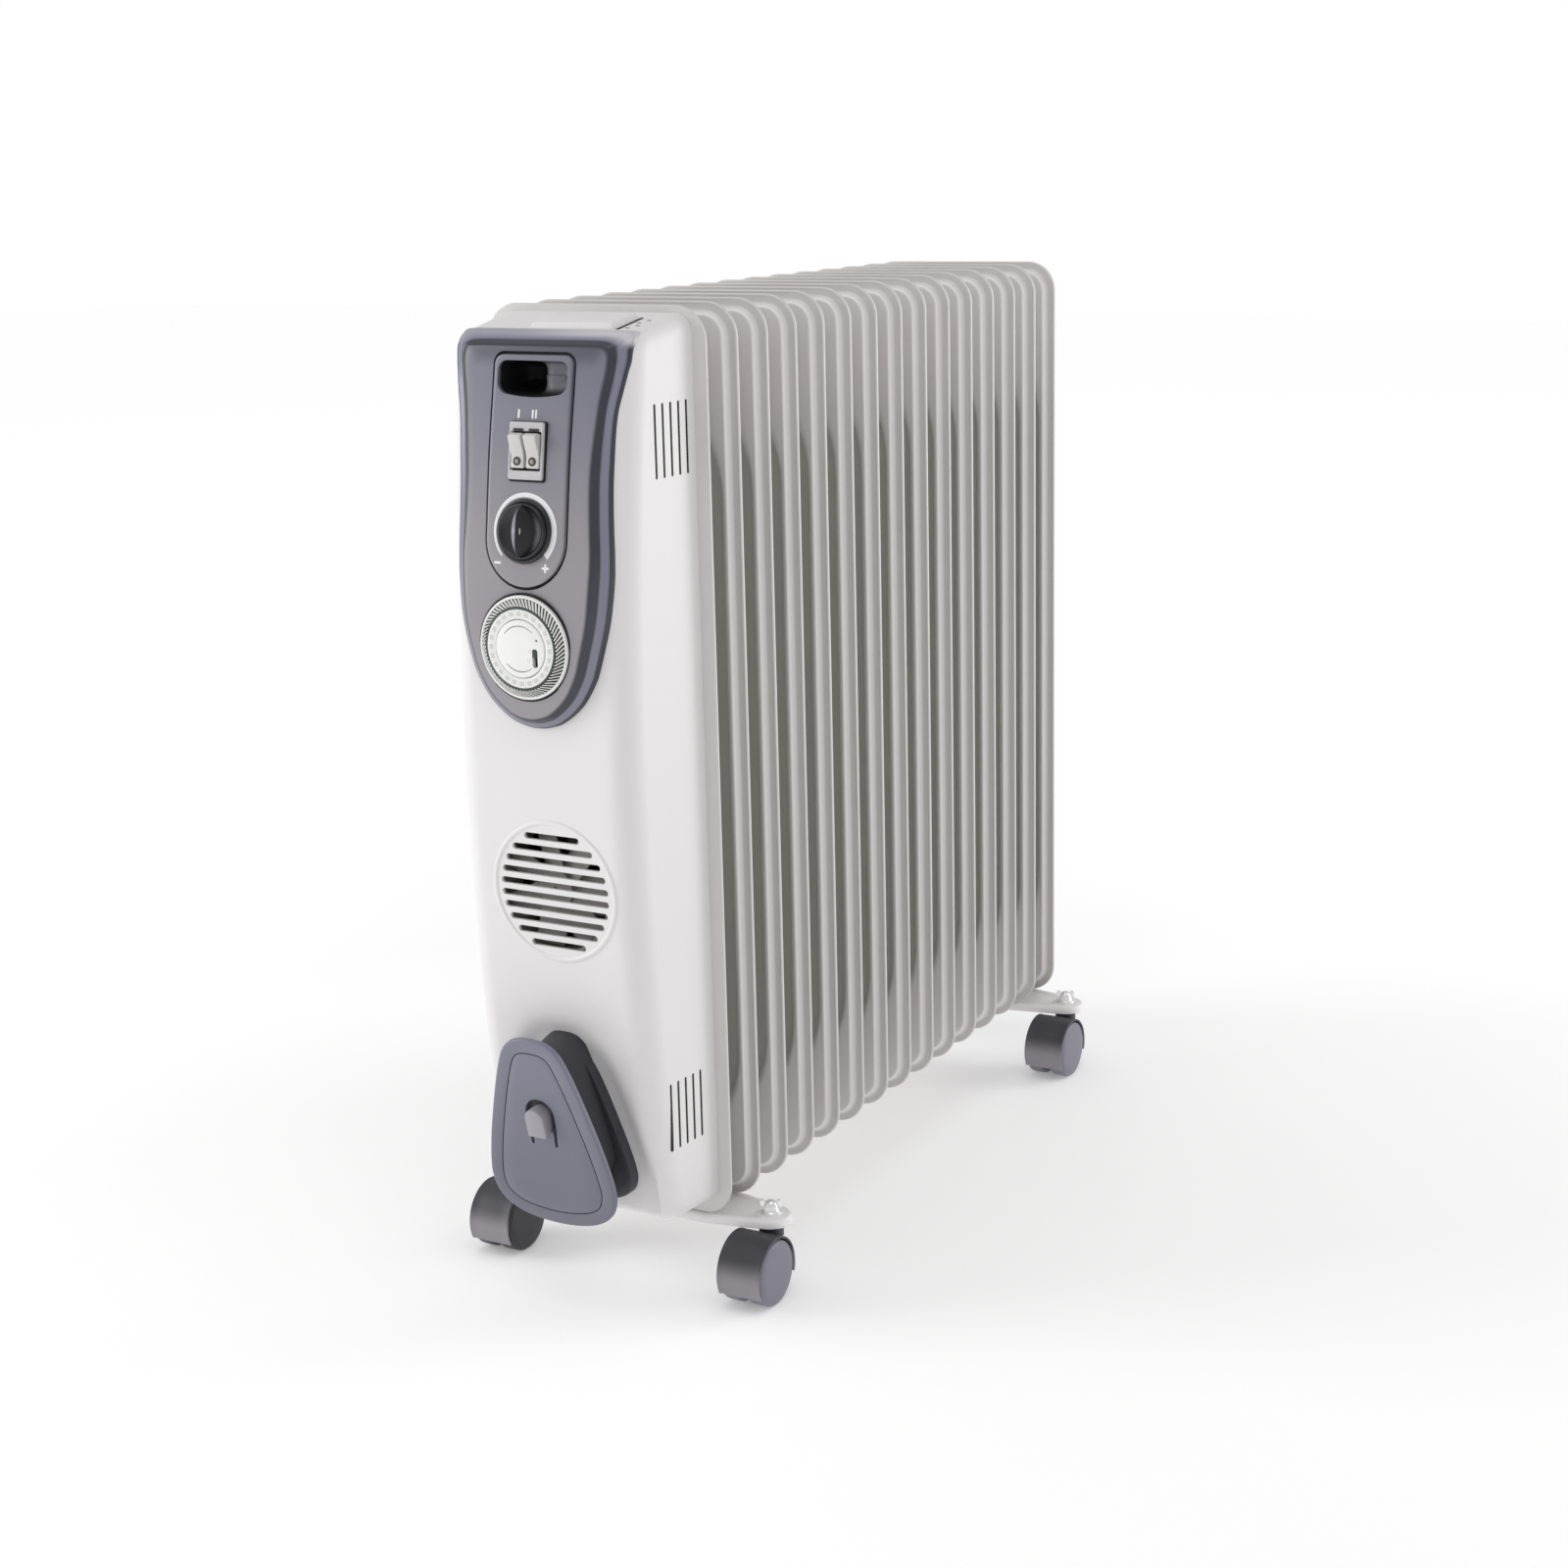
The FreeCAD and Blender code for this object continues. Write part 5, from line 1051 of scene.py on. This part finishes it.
obj = piece("wrap_plate", move(loft(rings), WRAP), "heater", "fascia_grey", ["cord_wrap_plate"],
            angle=36, cut=plate(lambda s: cut_loop, ((0, -6), (0, 3)), WRAP), material=PLATE)
flat = move((points_of(obj.data), []), np.linalg.inv(WRAP))[0]
line = reach(flat[:, :2], PLATE_LOOP)
# painted shade in the groove round the plate
paint(obj.data, groove=step(9.3, 9.7, line) * (1 - step(10.3, 10.7, line)) * (flat[:, 2] < -0.5))


def clip_loop(s=0.0):
    hw = 7.2 - s
    pts = [(hw * math.cos(t), -55.5 + hw * math.sin(t)) for t in np.linspace(0, math.pi, 21)]
    return np.array(pts + [(-hw, -69.5 + s), (hw, -69.5 + s)])


clip = [np.column_stack([clip_loop(s), w + (clip_loop(s)[:, 1] + 68) * lean]) for s, w, lean in
        ((1.0, -4.0, 0.0), (0.4, 1.0, 0.0), (0, 4.4, 0.06), (0, 6.0, 0.06), (0.3, 6.6, 0.06),
         (0.9, 6.9, 0.06))]
piece("wrap_clip", move(solid(clip), WRAP), "heater", "switch_grey",
      ["cord_clip"], angle=30, material=CLIP)
well = oval(13.0, 21.0, (0, -61), 40)
dark_filler("wrap_well", plate(lambda s: well, ((0, -5.2), (0, -4.3)), WRAP))

stem = solid([level_ring(egg(s), w)
              for s, w in ((16.0, -3.9), (16.0, -12.0), (15.4, -20.0), (14.4, -46.0))])
flange_rings = []
for s, lift in ((2.0, -5.0), (2.0, 2.4), (2.3, 3.1), (3.2, 3.5), (8.0, 3.5), (15.9, 3.4),
                (17.5, -3.0)):
    loop = egg(s) * [0.97, 0.86] - [0, 17.0]
    world = move((np.column_stack([loop, np.zeros(len(loop))]), []), WRAP)[0]
    z = world[:, 2]
    flange_rings.append(np.column_stack([world[:, 0], front_y(np.maximum(z, 72)) - lift,
                                         np.maximum(z, 75.6)]))
piece("wrap_stem", move(stem, WRAP), "heater", "cup_dark", ["cord_wrap_base"], angle=30)
piece("wrap_flange", loft(flange_rings), "heater", "cup_dark", angle=30)

# ------------------------------------------------------------------ feet

FOOT_Y = (-198.4, 300.8)
STEM_X = 103.0


def arm(s=0.0):
    """Foot outline, wide in the middle and round at the ends."""
    tip, root, knee = 15.0 - s, 24.0 - s, 62.0
    a0 = math.pi / 2 - math.atan2(root - tip, STEM_X - knee)
    arc = np.array([(STEM_X + tip * math.cos(a), tip * math.sin(a))
                    for a in np.linspace(-a0, a0, 25)])
    tx, ty = arc[-1]
    slope = np.array([(tx + (knee - tx) * f, ty + (root - ty) * f) for f in (0.25, 0.5, 0.75)])
    flat = np.array([(x, root) for x in np.linspace(knee, -knee, 13)])
    side = np.vstack([slope, flat, slope[::-1] * [-1, 1]])
    return np.vstack([arc, side, -arc, -side])


def arm_fill(f, s):
    loop = arm(s)
    spine = np.column_stack([np.clip(loop[:, 0], -98, 98), np.zeros(len(loop))])
    return loop + (spine - loop) * f


for label, y in zip(("front", "rear"), FOOT_Y):
    rings = [(arm_fill(f, 2.4), 53.2) for f in (1.0, 0.5)]
    rings += [(arm(s), z) for s, z in ((2.4, 53.2), (2.2, 49.9), (1.8, 49.5), (0.5, 49.5),
                                       (0.0, 49.9), (0.0, 53.0), (0.35, 54.5), (1.0, 55.4),
                                       (2.0, 55.9), (3.0, 56.0), (5.2, 56.0), (6.2, 55.75),
                                       (7.4, 55.2), (8.8, 55.0))]
    rings += [(arm_fill(f, 8.8), 55.0) for f in (0.4, 1.0)]
    part = loft([np.column_stack([loop[:, 0], loop[:, 1] + y, np.full(len(loop), z)])
                 for loop, z in rings])
    pads = [move(lathe([(11.5, 54.6), (10.4, 55.4), (9.6, 55.9), (8.8, 56.0), (0.5, 56.0)], 40),
                 at(sx * STEM_X, y)) for sx in (-1, 1)]
    piece(label + "_foot", join(part, *pads), "heater", "foot_paint", [label + "_foot_bracket"],
          angle=30)

nuts, stems = [], []
for y in FOOT_Y:
    for sx in (-1, 1):
        x = sx * STEM_X
        nuts.append(move(lathe([(7.2, 56.0), (7.4, 56.5), (7.2, 57.1), (6.2, 57.6), (5.6, 58.2),
                                (5.3, 60.0), (4.9, 62.0), (3.9, 63.8), (2.4, 64.8), (0.4, 65.1)],
                               40), at(x, y)))
        for s in (-1, 1):
            loop = []
            for t in np.linspace(0, TAU, 20, endpoint=False):
                loop.append((s * (5.6 + 2.1 * math.cos(t)), 0, 61.8 + 3.9 * math.sin(t)))
            wing = []
            for off, sc in ((-1.15, 0.8), (-0.8, 1.0), (0.8, 1.0), (1.15, 0.8)):
                mid = np.array([s * 5.6, 0, 61.8])
                wing.append([(mid + (np.array(p) - mid) * sc + [0, off, 0]) for p in loop])
            nuts.append(move(solid(wing), at(x, y, 0, 25)))
        stems.append(move(lathe([(3.9, 39.6), (3.9, 48.5), (5.9, 48.6), (6.4, 49.2), (6.4, 51.4),
                                 (5.6, 51.9), (5.6, 53.1), (0.5, 53.1)], 32), at(x, y)))
piece("wing_nuts", join(*nuts), "heater", "nut_chrome", ["castor_wing_nuts"], angle=38)
piece("swivel_stems", join(*stems), "heater", "inner_black", ["castor_stems"], angle=35)

# ------------------------------------------------------------------ castors

CORNERS = [("front_left", -1, FOOT_Y[0]), ("front_right", 1, FOOT_Y[0]),
           ("rear_left", -1, FOOT_Y[1]), ("rear_right", 1, FOOT_Y[1])]
for corner, sx, fy in CORNERS:
    cx, cy, cz = sx * STEM_X, fy - 22.0, 23.0
    angles = np.radians(np.linspace(-17, 208, 61))
    prof = [(-16.4, 24.0), (-16.55, 25.0), (-16.2, 25.4), (-15.2, 25.35), (-14.6, 25.1),
            (-8, 25.3), (0, 25.4), (8, 25.3), (14.6, 25.1), (15.2, 25.35), (16.2, 25.4),
            (16.55, 25.0), (16.4, 24.0), (15.6, 23.75), (3.2, 23.75), (2.8, 8.0), (-2.8, 8.0),
            (-3.2, 23.75), (-15.6, 23.75)]
    rings = []
    for t in angles:
        rings.append([(x, r * math.cos(t), r * math.sin(t)) for x, r in prof])
    hood = move(solid(rings), at(cx, cy, cz))
    boss = move(lathe([(8.6, 40.0), (8.5, 45.6), (8.1, 47.6), (7.4, 48.2), (4.2, 48.2)], 40,
                      True, False), at(cx, fy))
    hub = move(lathe([(8.4, -2.9), (8.4, 2.9)], 32), sideways(cx, cy, cz))
    piece("hood_" + corner, join(hood, boss, hub), "castor_" + corner, "castor_grey",
          ["castor_hood_" + corner], angle=36)
    for side in ("inner", "outer"):
        out = sx if side == "outer" else -sx
        prof = [(2.7, 3.3), (8.2, 3.3), (8.6, 3.6), (8.8, 6.0), (19.4, 6.0), (19.8, 3.6),
                (20.4, 3.3), (21.4, 3.3), (22.4, 3.9), (22.95, 5.2), (23.0, 8.0), (23.0, 13.6),
                (22.8, 15.0), (22.1, 16.0), (21.3, 16.35), (20.9, 16.2), (20.6, 16.15),
                (20.2, 16.45), (19.2, 16.75), (14, 16.95), (7, 17.0), (0.4, 17.0)]
        wheel = move(lathe(prof, 80, False, True), sideways(cx, cy, cz, out))
        name = "%s_%s" % (corner, side)
        # the left castors' wheels get the painted-shade copy
        piece("disc_" + name, wheel, "wheel_" + name, "wheel_grey", ["wheel_" + name], angle=30,
              material=LOOK["wheel_grey"] if sx > 0 else SHADY)

# ------------------------------------------------------------------ floor, light and camera

floor = bpy.data.meshes.new("floor")
floor.from_pydata([(-9, -9, 0), (9, -9, 0), (9, 9, 0), (-9, 9, 0)], [], [(0, 1, 2, 3)])
floor_obj = put("floor", floor)
floor.materials.append(look("floor_white", (0.93, 0.93, 0.93, 1.0), 0.8, spread=0.004, scale=2.0))
glow = floor.materials[0].node_tree
shader = glow.nodes["Principled BSDF"]
# painted light: the floor glows, from 0.2 near the heater to 0.5 further out, so the far floor reads
# white
place, reach_node = glow.nodes.new("ShaderNodeTexCoord"), glow.nodes.new("ShaderNodeVectorMath")
reach_node.operation = "LENGTH"
glow.links.new(place.outputs["Object"], reach_node.inputs[0])
level = map_range(glow, reach_node.outputs["Value"], from_min=0.7, from_max=2.6, to_min=0.2,
                  to_max=0.5)
glow.links.new(level.outputs["Result"], shader.inputs["Emission Strength"])
shader.inputs["Emission Color"].default_value = (1.0, 1.0, 1.0, 1.0)

AMBIENT = 0.52
world = bpy.data.worlds.new("studio")
world.use_nodes = True
bg = world.node_tree.nodes["Background"]
bg.inputs["Color"].default_value = (1.0, 1.0, 1.0, 1.0)
seen = world.node_tree.nodes.new("ShaderNodeLightPath")
level = map_range(world.node_tree, seen.outputs["Is Camera Ray"], to_min=AMBIENT, to_max=1.0)
world.node_tree.links.new(level.outputs["Result"], bg.inputs["Strength"])
bpy.context.scene.view_settings.view_transform = "Standard"
bpy.context.scene.world = world


def area(name, azimuth, height, distance, size, power, aim=(0, 0, 0.35), colour=(1, 1, 1)):
    """Soft box at an azimuth seen from above: 0 in front, 90 to the right."""
    t = math.radians(azimuth)
    place = Vector((math.sin(t) * distance, -math.cos(t) * distance, height))
    lamp = bpy.data.lights.new(name, "AREA")
    lamp.shape, lamp.size, lamp.size_y = "RECTANGLE", size[0], size[1]
    lamp.energy, lamp.color = power, colour
    o = put(name, lamp)
    o.location = place
    o.rotation_mode = "QUATERNION"
    o.rotation_quaternion = (place - Vector(aim)).to_track_quat("Z", "Y")
    return o


area("front_box", -56, 1.2, 2.6, (1.3, 1.8), 30)
area("side_box", 133, 0.9, 2.4, (1.3, 1.8), 21)
area("top_box", 20, 3.0, 0.8, (1.8, 1.8), 14)

cam_data = bpy.data.cameras.new("camera")
cam = put("camera", cam_data)
az, el, roll = math.radians(30.003), math.radians(13.842), math.radians(-1.379)
right = Vector((math.cos(az), math.sin(az), 0))
ahead = Vector((-math.sin(az) * math.cos(el), math.cos(az) * math.cos(el), -math.sin(el)))
up = right.cross(ahead)
r = right * math.cos(roll) + up * math.sin(roll)
u = up * math.cos(roll) - right * math.sin(roll)
m = Matrix((r, u, -ahead)).transposed().to_4x4()
m.translation = Vector((948.4, -1630.7, 767.8)) * MM
cam.matrix_world = m
cam_data.sensor_width = 36.0
cam_data.lens = 2657.4 / 1600 * 36.0
cam_data.clip_start, cam_data.clip_end = 0.05, 60
bpy.context.scene.camera = cam
